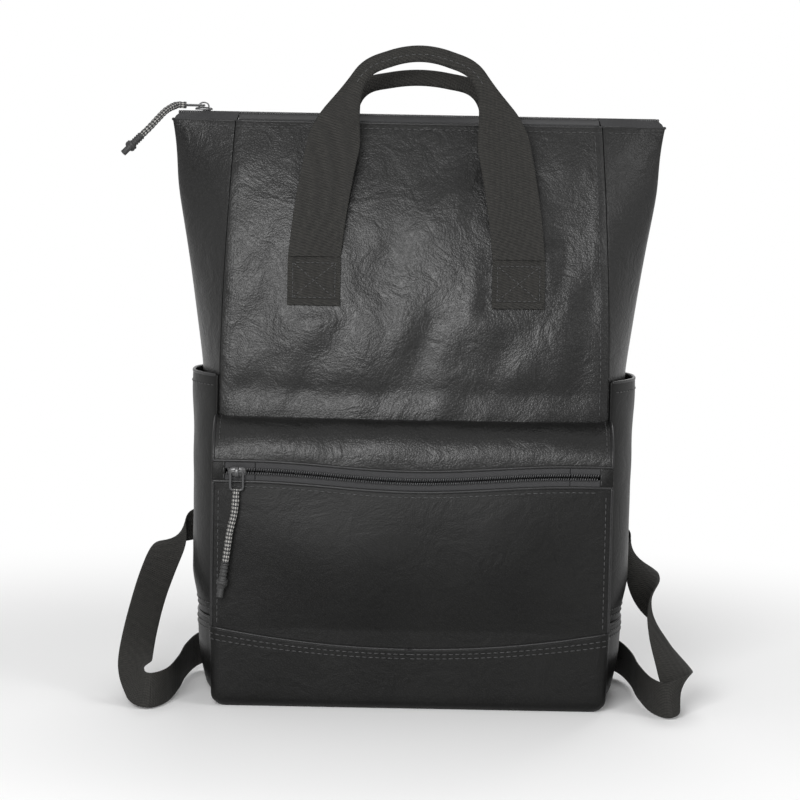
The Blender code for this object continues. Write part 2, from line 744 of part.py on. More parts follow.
def handle(name, facing, apex_z, lean, webbing):
    """A webbing loop that narrows to a folded grip, and the two box-stitched ends it is sewn by.

    facing is -1 for the front panel and 1 for the back, and lean is how far the grip comes in.
    """
    def panel_y(x, z):
        return front_face_y(x, z) if facing < 0 else back_y(z)

    rest = CLEARANCE + HANDLE_WEBBING / 2
    hinge_y = panel_y(HANDLE_PATCH_X - HANDLE_WIDTH / 2, HANDLE_HINGE_Z) + facing * rest
    leg_top = TOP_Z + 0.012
    grip_y = hinge_y - facing * lean
    shoulder_x = HANDLE_TOP_X * 0.70
    right = (
        (HANDLE_PATCH_X, hinge_y, HANDLE_HINGE_Z + 2 * CLEARANCE),
        (HANDLE_PATCH_X - 0.004, hinge_y - facing * lean * 0.02, HANDLE_HINGE_Z + 0.035),
        (HANDLE_TOP_X + 0.004, hinge_y - facing * lean * 0.30, HANDLE_HINGE_Z + 0.075),
        (HANDLE_TOP_X - 0.003, hinge_y - facing * lean * 0.58, leg_top - 0.006),
        (shoulder_x, hinge_y - facing * lean * 0.80, leg_top + (apex_z - leg_top) * 0.62),
        (shoulder_x * 0.52, grip_y + facing * lean * 0.05, apex_z - (apex_z - leg_top) * 0.10),
    )
    left = [(-x, y, z) for x, y, z in right]
    route = [*left, (0.0, grip_y, apex_z), *reversed(right)]

    def centre(v):
        return spline(route, v)

    def across(v):
        step = 0.004
        along = centre(min(v + step, 1.0)) - centre(max(v - step, 0.0))
        level = Vector((1.0 if v < 0.5 else -1.0, 0.0, 0.0))
        side = along.cross(Vector((0.0, -1.0, 0.0))).normalized()
        return level.lerp(side, smooth(min(v, 1.0 - v), 0.0, 0.06)) * -facing

    def width(v):
        share = smooth(min(v, 1.0 - v), 0.20, 0.36)
        return HANDLE_WIDTH + (GRIP_WIDTH - HANDLE_WIDTH) * share

    loop = sheet(f"{name}_handle", band(centre, across, width), 2, 36, HANDLE_WEBBING, webbing)
    loop.modifiers["Wall"].offset = 0.0
    outer_y = hinge_y + facing * HANDLE_WEBBING / 2
    hang(loop, joint_empty(f"{name}_handle_hinge", (0.0, outer_y, HANDLE_HINGE_Z)))

    for word, side in SIDES.items():
        def patch(u, v, side=side):
            turn = u if facing < 0 else 1.0 - u
            x = side * HANDLE_PATCH_X + (turn - 0.5) * HANDLE_WIDTH
            z = PATCH_LOW_Z + (HANDLE_HINGE_Z - PATCH_LOW_Z) * v
            return Vector((x, panel_y(x, z) + facing * CLEARANCE, z))

        sheet(f"{name}_handle_{word}_patch", patch, 4, 4, HANDLE_WEBBING, webbing, outwards=True)


# Shoulder straps

def strap_route():
    """Middle line of the right shoulder strap, from the yoke down and outwards over the back."""
    gap = 2 * CLEARANCE + LEATHER + STRAP_PAD / 2
    return (
        (0.0245, back_y(STRAP_TOP_Z) + gap, STRAP_TOP_Z),
        (0.0250, back_y(0.345) + gap + 0.001, 0.345),
        (0.0275, back_y(0.300) + gap + 0.003, 0.300),
        (0.0380, back_y(0.255) + gap + 0.007, 0.255),
        (0.0580, back_y(0.210) + gap + 0.010, 0.210),
        (0.0800, back_y(0.175) + gap + 0.009, 0.175),
        (0.0970, back_y(0.152) + gap + 0.006, 0.152),
    )


# Lower webbing, chosen by hand: middle line and cross direction of each loop, from the lock round
# the bag's side to the floor and back to the tab behind the base
LEFT_LOOP = (
    ((-0.1480, 0.0760, 0.1130), (0.10, -0.05, 0.99)),
    ((-0.1665, 0.0700, 0.1105), (0.45, 0.10, 0.88)),
    ((-0.1810, 0.0520, 0.0985), (0.78, 0.42, 0.46)),
    ((-0.1905, 0.0250, 0.0760), (0.74, 0.64, 0.20)),
    ((-0.1965, -0.0080, 0.0500), (0.72, 0.68, 0.14)),
    ((-0.1985, -0.0420, 0.0280), (0.55, 0.72, 0.42)),
    ((-0.1955, -0.0700, 0.0165), (0.18, 0.48, 0.86)),
    ((-0.1850, -0.0810, 0.0140), (0.00, 0.12, 0.99)),
    ((-0.1740, -0.0620, 0.0140), (0.00, 0.00, 1.00)),
    ((-0.1690, -0.0150, 0.0140), (0.00, 0.00, 1.00)),
    ((-0.1670, 0.0300, 0.0145), (0.00, 0.00, 1.00)),
    ((-0.1600, 0.0620, 0.0170), (0.00, 0.00, 1.00)),
    ((-0.1460, 0.0740, 0.0205), (0.00, 0.00, 1.00)),
)
RIGHT_LOOP = (
    ((0.1480, 0.0760, 0.1090), (-0.10, -0.05, 0.99)),
    ((0.1655, 0.0690, 0.1020), (-0.42, 0.10, 0.90)),
    ((0.1740, 0.0500, 0.0860), (-0.50, 0.62, 0.60)),
    ((0.1790, 0.0220, 0.0640), (-0.16, 0.93, 0.30)),
    ((0.1850, -0.0100, 0.0440), (0.28, 0.95, 0.10)),
    ((0.1925, -0.0420, 0.0280), (0.42, 0.82, 0.38)),
    ((0.1945, -0.0700, 0.0175), (0.20, 0.50, 0.84)),
    ((0.1850, -0.0830, 0.0140), (0.00, 0.10, 0.99)),
    ((0.1745, -0.0640, 0.0140), (0.00, 0.00, 1.00)),
    ((0.1690, -0.0150, 0.0140), (0.00, 0.00, 1.00)),
    ((0.1670, 0.0300, 0.0145), (0.00, 0.00, 1.00)),
    ((0.1600, 0.0620, 0.0170), (0.00, 0.00, 1.00)),
    ((0.1460, 0.0740, 0.0205), (0.00, 0.00, 1.00)),
)


def lock_frame(side):
    """Axes of a ladder lock at the end of its strap: x across, y down the strap, z off the back."""
    route = [Vector((side * x, y, z)) for x, y, z in strap_route()]
    down = (route[-1] - spline(route, 0.96)).normalized()
    across = down.cross(Vector((0.0, 1.0, 0.0))).normalized()
    off = across.cross(down)
    start = route[-1] + down * (TIP_LOOP_LENGTH + CLEARANCE)
    return Matrix.Translation(start) @ Matrix((across, down, off)).transposed().to_4x4()


def ladder_lock(word, side, plastic):
    """A moulded frame with an upper slot for the strap's tip and a lower one for the webbing."""
    bars = 3 * LOCK_BAR
    length = bars + LOCK_UPPER_SLOT + LOCK_LOWER_SLOT
    low = (-LOCK_WIDTH / 2, 0.0, -LOCK_THICKNESS / 2)
    lock = block(f"{word}_ladder_lock", low, (LOCK_WIDTH / 2, length, LOCK_THICKNESS / 2), plastic)
    half = WEBBING_WIDTH / 2 + 3 * CLEARANCE
    upper = LOCK_BAR
    lower = 2 * LOCK_BAR + LOCK_UPPER_SLOT
    tools = []
    for start, slot in ((upper, LOCK_UPPER_SLOT), (lower, LOCK_LOWER_SLOT)):
        box = ((-half, start, -LOCK_THICKNESS), (half, start + slot, LOCK_THICKNESS))
        tools.append(combine(lock, *box, "DIFFERENCE"))
    place(lock_frame(side), lock, *tools)
    return lock


def tip_loop(word, side, webbing):
    """The short loop of webbing that holds the lock to the end of the padded strap."""
    over = LOCK_THICKNESS / 2 + STRAP_WEBBING / 2 + 2 * CLEARANCE
    turn = LOCK_BAR + LOCK_UPPER_SLOT / 2
    start = -TIP_LOOP_LENGTH
    route = ((start, over), (start / 2, over), (0.0, over), (LOCK_BAR * 0.8, over * 0.96), (turn, 0.0),
             (LOCK_BAR * 0.8, -over * 0.96), (0.0, -over), (start / 2, -over), (start, -over))

    def centre(v):
        along, off = spline(route, v)
        return Vector((0.0, along, off))

    def across(_):
        return Vector((1.0, 0.0, 0.0))

    loop = sheet(f"{word}_tip_loop", band(centre, across, lambda _: WEBBING_WIDTH), 1, 24,
                 STRAP_WEBBING, webbing)
    loop.modifiers["Wall"].offset = 0.0
    place(lock_frame(side), loop)
    return loop


def lower_webbing(word, side, loop, webbing):
    """Webbing from its free tail, round the lock's last bar, out in a loop and back to the tab."""
    frame = lock_frame(side)
    over = LOCK_THICKNESS / 2 + STRAP_WEBBING / 2 + 2 * CLEARANCE
    last_bar = 2 * LOCK_BAR + LOCK_UPPER_SLOT + LOCK_LOWER_SLOT
    turn = last_bar - LOCK_LOWER_SLOT / 2
    beyond = last_bar + LOCK_BAR
    local = ((beyond + TAIL_LENGTH, over * 1.6), (beyond + TAIL_LENGTH / 2, over * 1.4), (beyond, over),
             (last_bar + LOCK_BAR * 0.2, over * 0.96), (turn, 0.0),
             (last_bar + LOCK_BAR * 0.2, -over * 0.96), (beyond, -over), (beyond + 0.010, -over))
    centres = [frame @ Vector((0.0, along, off)) for along, off in local]
    crosses = [frame.to_3x3() @ Vector((1.0, 0.0, 0.0))] * len(local)
    if crosses[0].z < 0:
        crosses = [-cross for cross in crosses]
    tab_y = BOOT_BACK_Y + LEATHER + 2 * CLEARANCE + STRAP_WEBBING / 2
    tab_z = (TAB_LOW_Z + TAB_HIGH_Z) / 2 - CLEARANCE
    ends = ((side * (TAB_X + TAB_HALF_WIDTH * 0.6), tab_y + CLEARANCE, tab_z),
            (side * (TAB_X - TAB_HALF_WIDTH * 0.3), tab_y, tab_z))
    centres += [Vector(point) for point, _ in loop] + [Vector(point) for point in ends]
    crosses += [Vector(cross) for _, cross in loop] + [Vector((0.0, 0.0, 1.0))] * len(ends)

    def centre(v):
        return spline(centres, v)

    def across(v):
        return spline(crosses, v)

    strip = sheet(f"{word}_webbing", band(centre, across, lambda _: WEBBING_WIDTH), 1, 72,
                  STRAP_WEBBING, webbing)
    strip.modifiers["Wall"].offset = 0.0
    return strip


def strap_tab(word, side, leather):
    """The leather tab behind the base that the webbing is sewn to."""
    curve = bpy.data.curves.new(f"{word}_strap_tab", "CURVE")
    curve.dimensions = "2D"
    curve.fill_mode = "BOTH"
    curve.extrude = LEATHER / 2
    line = curve.splines.new("POLY")
    outline = ((-TAB_HALF_WIDTH, TAB_LOW_Z), (TAB_HALF_WIDTH, TAB_LOW_Z),
               (TAB_HALF_WIDTH, TAB_HIGH_Z), (-TAB_HALF_WIDTH * 0.4, TAB_HIGH_Z))
    line.points.add(len(outline) - 1)
    for i, (x, z) in enumerate(outline):
        line.points[i].co = (x * side, z, 0.0, 1.0)
    line.use_cyclic_u = True
    tab = add_object(f"{word}_strap_tab", curve, leather)
    tab.location = (side * TAB_X, BOOT_BACK_Y + CLEARANCE + LEATHER / 2, 0.0)
    tab.rotation_euler = (math.pi / 2, 0.0, 0.0)
    return tab


def shoulder_straps(leather, webbing, plastic):
    """The yoke, and on each side a padded strap with its lock, webbing and lower tab."""
    def yoke(u, v):
        z = STRAP_TOP_Z + 6 * CLEARANCE + YOKE_HEIGHT * v
        return Vector(((1.0 - 2.0 * u) * YOKE_HALF_WIDTH, back_y(z) + CLEARANCE, z))

    sheet("strap_yoke", yoke, 4, 3, LEATHER, leather, outwards=True)

    for word, side in SIDES.items():
        route = [Vector((side * x, y, z)) for x, y, z in strap_route()]

        def centre(v, route=route):
            return spline(route, v)

        def across(v, centre=centre):
            along = centre(min(v + 0.01, 1.0)) - centre(max(v - 0.01, 0.0))
            return along.cross(Vector((0.0, 1.0, 0.0)))

        def width(v):
            return STRAP_WIDTH_TOP + (STRAP_WIDTH_LOW - STRAP_WIDTH_TOP) * smooth(v, 0.2, 0.75)

        strap = sheet(f"{word}_shoulder_strap", band(centre, across, width), 3, 18, STRAP_PAD, leather)
        strap.modifiers["Wall"].offset = 0.0
        hinge = joint_empty(f"{word}_strap_hinge", route[0])
        hang(strap, hinge)
        hang(tip_loop(word, side, webbing), hinge)
        hang(ladder_lock(word, side, plastic), hinge)
        lower_webbing(word, side, LEFT_LOOP if side < 0 else RIGHT_LOOP, webbing)
        strap_tab(word, side, leather)


def clear_scene():
    """Remove what the scene starts with."""
    for obj in list(bpy.data.objects):
        bpy.data.objects.remove(obj, do_unlink=True)


def collection(name):
    """A new collection in the scene."""
    made = bpy.data.collections.new(name)
    bpy.context.scene.collection.children.link(made)
    return made


clear_scene()
PARTS = collection("leather_backpack")
CUTTERS = collection("leather_backpack_cutters")

BLACK_LEATHER = finish("black_leather", (0.022, 0.022, 0.023), 0.45)
BLACK_WEBBING = finish("black_webbing", (0.035, 0.034, 0.032), 0.85)
LINING = finish("lining_cloth", (0.05, 0.05, 0.055), 0.9)
FOAM = finish("foam", (0.08, 0.08, 0.08), 0.95)
BOARD = finish("stiff_board", (0.10, 0.09, 0.08), 0.8)
ZIP_CLOTH = finish("zip_tape", (0.015, 0.015, 0.016), 0.8)
TEETH = finish("zip_teeth", (0.02, 0.02, 0.02), 0.35)
SLIDER_METAL = finish("slider_metal", (0.03, 0.03, 0.03), 0.35, metallic=1.0)
CORD_BRAID = finish("cord_braid", (0.12, 0.12, 0.12), 0.8)
CORD_RUBBER = finish("cord_end", (0.015, 0.015, 0.015), 0.6)
BUCKLE = finish("buckle_plastic", (0.02, 0.02, 0.02), 0.4)

main_panels(BLACK_LEATHER)
base(BLACK_LEATHER, BOARD)
side_pockets(BLACK_LEATHER)
inside(LINING, FOAM)
front_pocket(BLACK_LEATHER)
zips(ZIP_CLOTH, TEETH, SLIDER_METAL, CORD_BRAID, CORD_RUBBER)
handle("front", -1, FRONT_APEX_Z, 0.022, BLACK_WEBBING)
handle("rear", 1, REAR_APEX_Z, 0.022, BLACK_WEBBING)
shoulder_straps(BLACK_LEATHER, BLACK_WEBBING, BUCKLE)
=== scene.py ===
"""Looks for a black leather tote backpack: sewn panels, zips, webbing handles and padded straps.

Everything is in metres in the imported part's own frame: +X right, -Y to the front, +Z up.
"""
import logging
import math
from dataclasses import dataclass
from enum import Enum
from typing import Callable, Optional, Sequence

import bpy
import numpy as np
from mathutils import Matrix, Vector


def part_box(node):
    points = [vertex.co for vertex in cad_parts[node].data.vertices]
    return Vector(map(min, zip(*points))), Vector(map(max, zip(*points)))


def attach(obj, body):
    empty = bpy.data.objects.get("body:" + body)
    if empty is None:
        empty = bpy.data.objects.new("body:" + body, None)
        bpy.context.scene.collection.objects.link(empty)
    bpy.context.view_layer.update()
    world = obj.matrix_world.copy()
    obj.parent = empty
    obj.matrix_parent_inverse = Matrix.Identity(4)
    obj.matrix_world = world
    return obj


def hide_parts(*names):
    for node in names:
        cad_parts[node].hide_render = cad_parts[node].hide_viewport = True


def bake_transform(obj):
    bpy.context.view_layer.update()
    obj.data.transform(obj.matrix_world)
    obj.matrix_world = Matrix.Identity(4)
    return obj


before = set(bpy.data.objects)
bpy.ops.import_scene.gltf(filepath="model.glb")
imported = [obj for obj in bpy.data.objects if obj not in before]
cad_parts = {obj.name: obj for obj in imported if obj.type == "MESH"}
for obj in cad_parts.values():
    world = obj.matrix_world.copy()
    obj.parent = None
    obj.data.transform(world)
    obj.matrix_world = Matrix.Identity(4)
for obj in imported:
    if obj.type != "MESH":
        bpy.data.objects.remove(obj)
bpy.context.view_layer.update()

logging.basicConfig(level=logging.INFO, format="%(message)s")
LOG = logging.getLogger("backpack")

Array = np.ndarray
Surface = Callable[[Array, Array], Array]
Row = tuple[Array, Array]
Colour = tuple[float, float, float]


class Side(Enum):
    """The bag's two sides, as seen from the front."""

    LEFT = -1
    RIGHT = 1

    @property
    def word(self) -> str:
        """Lower-case name of the side."""
        return self.name.lower()

    def share(self, u: float) -> float:
        """The share u on the right, and its mirror image on the left."""
        return u if self is Side.RIGHT else 1.0 - u


# Arrays


def span(count: int, low: float = 0.0, high: float = 1.0) -> Array:
    """Equal steps from low to high."""
    return np.linspace(low, high, count)


def smooth(value: Array, low: float, high: float) -> Array:
    """Smooth step, 3s^2 - 2s^3 of the clamped share s of the way from low to high."""
    share = np.clip((np.asarray(value, float) - low) / (high - low), 0.0, 1.0)
    return share * share * (3.0 - 2.0 * share)


def ripple(a: Array, b: Array, size: float, seed: int) -> Array:
    """Soft unevenness: the sum of eight sine waves of about one size, with seeded directions and phases.

    Args:
        a: First coordinate, in metres.
        b: Second coordinate, in metres.
        size: Typical wavelength, in metres.
        seed: Number that fixes the pattern.

    Returns:
        Values around zero, mostly within -1 and 1.
    """
    waves = 8
    rng = np.random.default_rng(seed)
    angle, phase = rng.uniform(0, 2 * np.pi, (2, waves))
    rate = 2 * np.pi / size * rng.uniform(0.6, 1.6, waves)
    inside = a[..., None] * np.cos(angle) + b[..., None] * np.sin(angle)
    return np.sin(inside * rate + phase).sum(-1) * 2 / waves


def spline(points: Sequence[Sequence[float]], share: Array) -> Array:
    """Catmull-Rom curve through the points, which lie at equal steps of the share from 0 to 1.

    Args:
        points: The route's own points.
        share: Where to read the curve, from 0 to 1.

    Returns:
        One row of coordinates for each share.
    """
    p = np.asarray(points, float)
    p = np.vstack([2 * p[0] - p[1], p, 2 * p[-1] - p[-2]])
    spot = np.clip(np.asarray(share, float), 0.0, 1.0) * (len(points) - 1)
    i = np.minimum(spot.astype(int), len(points) - 2)
    f = (spot - i)[:, None]
    p0, p1, p2, p3 = p[i], p[i + 1], p[i + 2], p[i + 3]
    bend = (2 * p0 - 5 * p1 + 4 * p2 - p3) * f**2
    return 0.5 * (2 * p1 + (p2 - p0) * f + bend + (3 * p1 - p0 - 3 * p2 + p3) * f**3)


def unit(rows: Array) -> Array:
    """Each row scaled to length one."""
    return rows / np.maximum(np.linalg.norm(rows, axis=-1, keepdims=True), 1e-12)


def squared(across: Array, along: Array) -> Array:
    """Each width direction turned square to its unit tangent, at length one."""
    return unit(across - (across * along).sum(1, keepdims=True) * along)


def arc_length(path: Array) -> Array:
    """Distance along a path at each of its points."""
    return np.concatenate([[0.0], np.cumsum(np.linalg.norm(np.diff(path, axis=0), axis=1))])


def read(rows: Array, run: Array, spots: Array) -> Array:
    """Rows that lie at the distances run, interpolated at the spots."""
    return np.stack([np.interp(spots, run, column) for column in rows.T], 1)


def even(path: Array, count: int) -> Array:
    """The same path at equal distances along it."""
    run = arc_length(path)
    return read(path, run, span(count, 0.0, run[-1]))


# Meshes

EDGE_SHARE = 0.35
EDGE_ANGLE = 50.0


def new_piece(name: str, points: Array, faces: list[list[int]]) -> bpy.types.Object:
    """A smooth mesh object at the origin.

    Args:
        name: Name of the piece.
        points: Its vertices, in an array whose last axis is x, y, z.
        faces: The corners of each face.

    Returns:
        The new object, in the scene.
    """
    mesh = bpy.data.meshes.new(name)
    mesh.from_pydata(points.reshape(-1, 3).tolist(), [], faces)
    mesh.shade_smooth()
    obj = bpy.data.objects.new(name, mesh)
    bpy.context.scene.collection.objects.link(obj)
    return obj


def cells(rows: int, cols: int, closed: bool) -> Row:
    """Row and column of every cell of a grid, whose last column may join the first."""
    r, c = np.meshgrid(np.arange(rows - 1), np.arange(cols if closed else cols - 1), indexing="ij")
    return r.ravel(), c.ravel()


def corners(r: Array, c: Array, cols: int) -> Array:
    """Vertex numbers of each cell's four corners."""
    d = (c + 1) % cols
    return np.stack([r * cols + c, r * cols + d, (r + 1) * cols + d, (r + 1) * cols + c], 1)


def thicken(obj: bpy.types.Object, wall: float, outwards: bool) -> None:
    """Give a surface a wall with rounded edges.

    Args:
        obj: The surface.
        wall: Thickness of the wall.
        outwards: Whether it grows along the faces' normals.
    """
    thick = obj.modifiers.new("Wall", "SOLIDIFY")
    thick.thickness = wall
    thick.offset = 1.0 if outwards else -1.0
    thick.use_even_offset = True
    edge = obj.modifiers.new("Edge", "BEVEL")
    edge.width = wall * EDGE_SHARE
    edge.segments = 2
    edge.limit_method = "ANGLE"
    edge.angle_limit = math.radians(EDGE_ANGLE)


def skin(name: str, points: Array, closed: bool = False, capped: bool = False, floored: bool = False,
         wall: float = 0.0, outwards: bool = False, uv: Optional[Array] = None) -> bpy.types.Object:
    """A quad mesh over a grid of points, whose faces look along du x dv.

    Args:
        name: Name of the piece.
        points: Grid of shape (rows along v, columns along u, 3).
        closed: Whether the last column joins the first.
        capped: Whether the first and last row of a closed grid are filled.
        floored: Whether only the first row of a closed grid is filled.
        wall: Thickness that a Solidify modifier gives the surface.
        outwards: Whether the wall grows along the faces' normals.
        uv: Grid of texture coordinates with one column more than a closed grid.

    Returns:
        The new object, at the origin.
    """
    rows, cols = points.shape[:2]
    r, c = cells(rows, cols, closed)
    faces = corners(r, c, cols).tolist()
    if capped or floored:
        faces.append(list(range(cols))[::-1])
    if capped:
        faces.append([(rows - 1) * cols + k for k in range(cols)])
    obj = new_piece(name, points, faces)
    if uv is not None:
        spots = np.stack([uv[r, c], uv[r, c + 1], uv[r + 1, c + 1], uv[r + 1, c]], 1).reshape(-1, 2)
        flat = np.zeros((len(obj.data.loops), 2))
        flat[: len(spots)] = spots
        obj.data.uv_layers.new(name="UVMap").data.foreach_set("uv", flat.ravel())
    if wall:
        thicken(obj, wall, outwards)
    return obj


def patch(name: str, surface: Surface, nu: int, nv: int, **options: object) -> bpy.types.Object:
    """A skin over surface(u, v) for u and v from 0 to 1."""
    v, u = np.meshgrid(span(nv), span(nu), indexing="ij")
    return skin(name, surface(u, v), **options)


RIB_PITCH = 0.0019


def swept(path: Array, across: Array, half_width: Array, half_height: Array, sides: int,
          squareness: float = 1.0, rib: float = 0.0, upright: bool = True) -> Row:
    """A superellipse carried along a path: cos and sin of the angle, raised to a power, times the half sizes.

    Ribs add a sine of the distance along the path to the height of the flat faces.

    Args:
        path: Points of the middle line.
        across: Width direction at each point.
        half_width: Half width at each point.
        half_height: Half thickness at each point.
        sides: Points round the section.
        squareness: Power below 1 squares the section up.
        rib: Height of cross ribs.
        upright: Whether the width direction is first squared to the path.

    Returns:
        The grid of points and a grid of texture coordinates, turns round and metres along.
    """
    along = unit(np.gradient(path, axis=0))
    across = squared(across, along) if upright else unit(across)
    off = unit(np.cross(along, across))
    angle = np.linspace(0, 2 * np.pi, sides, endpoint=False) + np.pi / sides
    wide = np.sign(np.cos(angle)) * np.abs(np.cos(angle)) ** squareness
    high = np.sign(np.sin(angle)) * np.abs(np.sin(angle)) ** squareness
    run = arc_length(path)
    lift = rib * np.sin(2 * np.pi * run / RIB_PITCH)[:, None] * np.sign(high) * (1.0 - np.abs(wide) ** 6)
    grid = (path[:, None] + across[:, None] * (half_width[:, None] * wide)[..., None]
            + off[:, None] * (half_height[:, None] * high + lift)[..., None])
    turn, dist = np.meshgrid(span(sides + 1), run)
    return grid, np.stack([turn, dist], -1)


def tube(name: str, path: Array, radius: Array | float, sides: int = 8) -> bpy.types.Object:
    """A round section of the given radius carried along a path, with both ends capped.

    Args:
        name: Name of the piece.
        path: Points of the middle line.
        radius: One radius, or one for each point.
        sides: Points round the section.

    Returns:
        The new object.
    """
    along = unit(np.gradient(path, axis=0))
    axis = np.eye(3)[np.argmin(np.abs(along).max(0))]
    radius = np.broadcast_to(radius, len(path)).astype(float)
    grid, uv = swept(path, np.cross(along, axis), radius, radius, sides)
    return skin(name, grid, closed=True, capped=True, uv=uv)


def copies(name: str, centres: Array, axes: Array, rings: Array, sides: int) -> bpy.types.Object:
    """Many small closed bodies of revolution, one at each centre, in one mesh.

    Args:
        name: Name of the piece.
        centres: Middle of each body.
        axes: Three rows for each body: along, across and off.
        rings: Rows of (distance along, half width across, half height off) of the body's rings.
        sides: Points round each ring.

    Returns:
        The new object.
    """
    angle = np.linspace(0, 2 * np.pi, sides, endpoint=False)
    local = np.stack([
        np.repeat(rings[:, 0], sides),
        (rings[:, 1, None] * np.cos(angle)).ravel(),
        (rings[:, 2, None] * np.sin(angle)).ravel(),
    ], 1)
    points = centres[:, None] + np.einsum("kj,njd->nkd", local, axes)
    quads = corners(*cells(len(rings), sides, True), sides)
    caps = np.stack([np.arange(sides)[::-1], (len(rings) - 1) * sides + np.arange(sides)])
    shift = np.arange(len(centres))[:, None, None] * len(local)
    faces = (quads + shift).reshape(-1, 4).tolist() + (caps + shift).reshape(-1, sides).tolist()
    return new_piece(name, points, faces)


# Seams

STITCH_RINGS = np.array([
    [-0.50, 0.10, 0.10], [-0.42, 0.70, 0.55], [-0.15, 1.0, 1.0],
    [0.15, 1.0, 1.0], [0.42, 0.70, 0.55], [0.50, 0.10, 0.10],
])
THREAD_RADIUS = 0.00042
THREAD_SINK = 0.35


def line_on(surface: Surface, u: Array, v: Array, step: float = 1e-3) -> Row:
    """A line drawn on a surface, with the surface's normals du x dv along it.

    Args:
        surface: The surface.
        u: First parameter along the line.
        v: Second parameter along the line.
        step: Step of the differences that give the normals.

    Returns:
        The line's points and the unit normals there.
    """
    du = surface(u + step, v) - surface(u - step, v)
    dv = surface(u, v + step) - surface(u, v - step)
    return surface(u, v), unit(np.cross(du, dv))


def course(surface: Surface, v: float, count: int, low: float = 0.0, high: float = 1.0) -> Row:
    """The line on a surface at one v, for u from low to high."""
    return line_on(surface, span(count, low, high), np.full(count, v))


def column(surface: Surface, u: float, count: int, low: float = 0.0, high: float = 1.0) -> Row:
    """The line on a surface at one u, for v from low to high."""
    return line_on(surface, np.full(count, u), span(count, low, high))


def border(surface: Surface, u: float, v: float, wide: int, high: int) -> list[Row]:
    """Four lines round a patch.

    Args:
        surface: The patch.
        u: Share of the width between each upright line and its edge.
        v: Share of the height between each level line and its edge.
        wide: Points of a level line.
        high: Points of an upright line.

    Returns:
        The two level lines and then the two upright ones.
    """
    level = [course(surface, at, wide, u, 1.0 - u) for at in (v, 1.0 - v)]
    return level + [column(surface, at, high, v, 1.0 - v) for at in (u, 1.0 - u)]


def lifted(row: Row, height: float) -> Array:
    """A line's points raised along its normals."""
    return row[0] + row[1] * height


def stitches(name: str, rows: Sequence[Row], pitch: float = 0.0046,
             length: float = 0.0034) -> bpy.types.Object:
    """Rows of short threads lying on a surface, all in one piece.

    Args:
        name: Name of the piece.
        rows: For each row, the points of its line and the surface's outward normals there.
        pitch: Distance from stitch to stitch.
        length: Length of each stitch.

    Returns:
        The new object.
    """
    centres, axes = [], []
    for line, normal in rows:
        run = arc_length(line)
        spots = np.arange(pitch / 2, run[-1], pitch)
        out = unit(read(normal, run, spots))
        along = unit(read(np.gradient(line, axis=0), run, spots))
        side = unit(np.cross(out, along))
        centres.append(read(line, run, spots) + out * THREAD_RADIUS * THREAD_SINK)
        axes.append(np.stack([along, side, np.cross(along, side)], 1))
    rings = STITCH_RINGS * np.array([length, THREAD_RADIUS, THREAD_RADIUS])
    return copies(name, np.concatenate(centres), np.concatenate(axes), rings, 6)


# Padding and seating

PILLOW_FRAMES = 20
PILLOW_PRESSURE = 4.0


def coordinates(mesh: bpy.types.Mesh) -> Array:
    """Every vertex of a mesh, one row each."""
    flat = np.zeros(len(mesh.vertices) * 3)
    mesh.vertices.foreach_get("co", flat)
    return flat.reshape(-1, 3)


def pillow(obj: bpy.types.Object, pinned: Array, cap: float) -> None:
    """Let a cloth simulation puff a padded piece up between its seams, where no vertex moves past the cap.

    Args:
        obj: The padded piece.
        pinned: Which vertices the seams hold.
        cap: Longest way that a vertex may move, in metres.
    """
    scene = bpy.context.scene
    work = bpy.data.objects.new(f"{obj.name}_cloth", obj.data.copy())
    scene.collection.objects.link(work)
    held = work.vertex_groups.new(name="pinned")
    held.add(np.flatnonzero(pinned).tolist(), 1.0, "REPLACE")
    cloth = work.modifiers.new("Cloth", "CLOTH")
    cloth.settings.vertex_group_mass = held.name
    cloth.settings.use_pressure = True
    cloth.settings.uniform_pressure_force = PILLOW_PRESSURE
    cloth.settings.effector_weights.gravity = 0.0
    cloth.point_cache.frame_start, cloth.point_cache.frame_end = 1, PILLOW_FRAMES
    for number in range(1, PILLOW_FRAMES + 1):
        scene.frame_set(number)
    shape = work.evaluated_get(bpy.context.evaluated_depsgraph_get())
    rest = coordinates(obj.data)
    step = np.nan_to_num(coordinates(shape.to_mesh()) - rest)
    shape.to_mesh_clear()
    far = np.maximum(np.linalg.norm(step, axis=1, keepdims=True), 1e-9)
    LOG.info("%s puffs up by %.2f mm at most", obj.name, 1000 * min(cap, float(far.max())))
    obj.data.vertices.foreach_set("co", (rest + step * np.minimum(1.0, cap / far)).ravel())
    obj.data.update()
    scene.frame_set(1)
    bpy.data.objects.remove(work)


def dress(obj: bpy.types.Object, material: bpy.types.Material) -> None:
    """Give an object one finish."""
    obj.data.materials.clear()
    obj.data.materials.append(material)


def seat(obj: bpy.types.Object, body: str, slot: str, material: bpy.types.Material, *nodes: str) -> None:
    """Dress a piece, let it ride on a body and hide the nodes that it replaces.

    Args:
        obj: The piece.
        body: Body that it moves with.
        slot: Not used.
        material: Its finish.
        nodes: Nodes that it replaces.
    """
    dress(obj, material)
    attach(obj, body)
    if nodes:
        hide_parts(*nodes)
    LOG.info("%s rides on %s", obj.name, body)


# Finishes


class Effect(Enum):
    """The shared effects, with the inputs that a finish sets."""

    GRAIN = ("Pebbles", "Wrinkles", "Smoothness")
    WEAVE = ("Threads",)


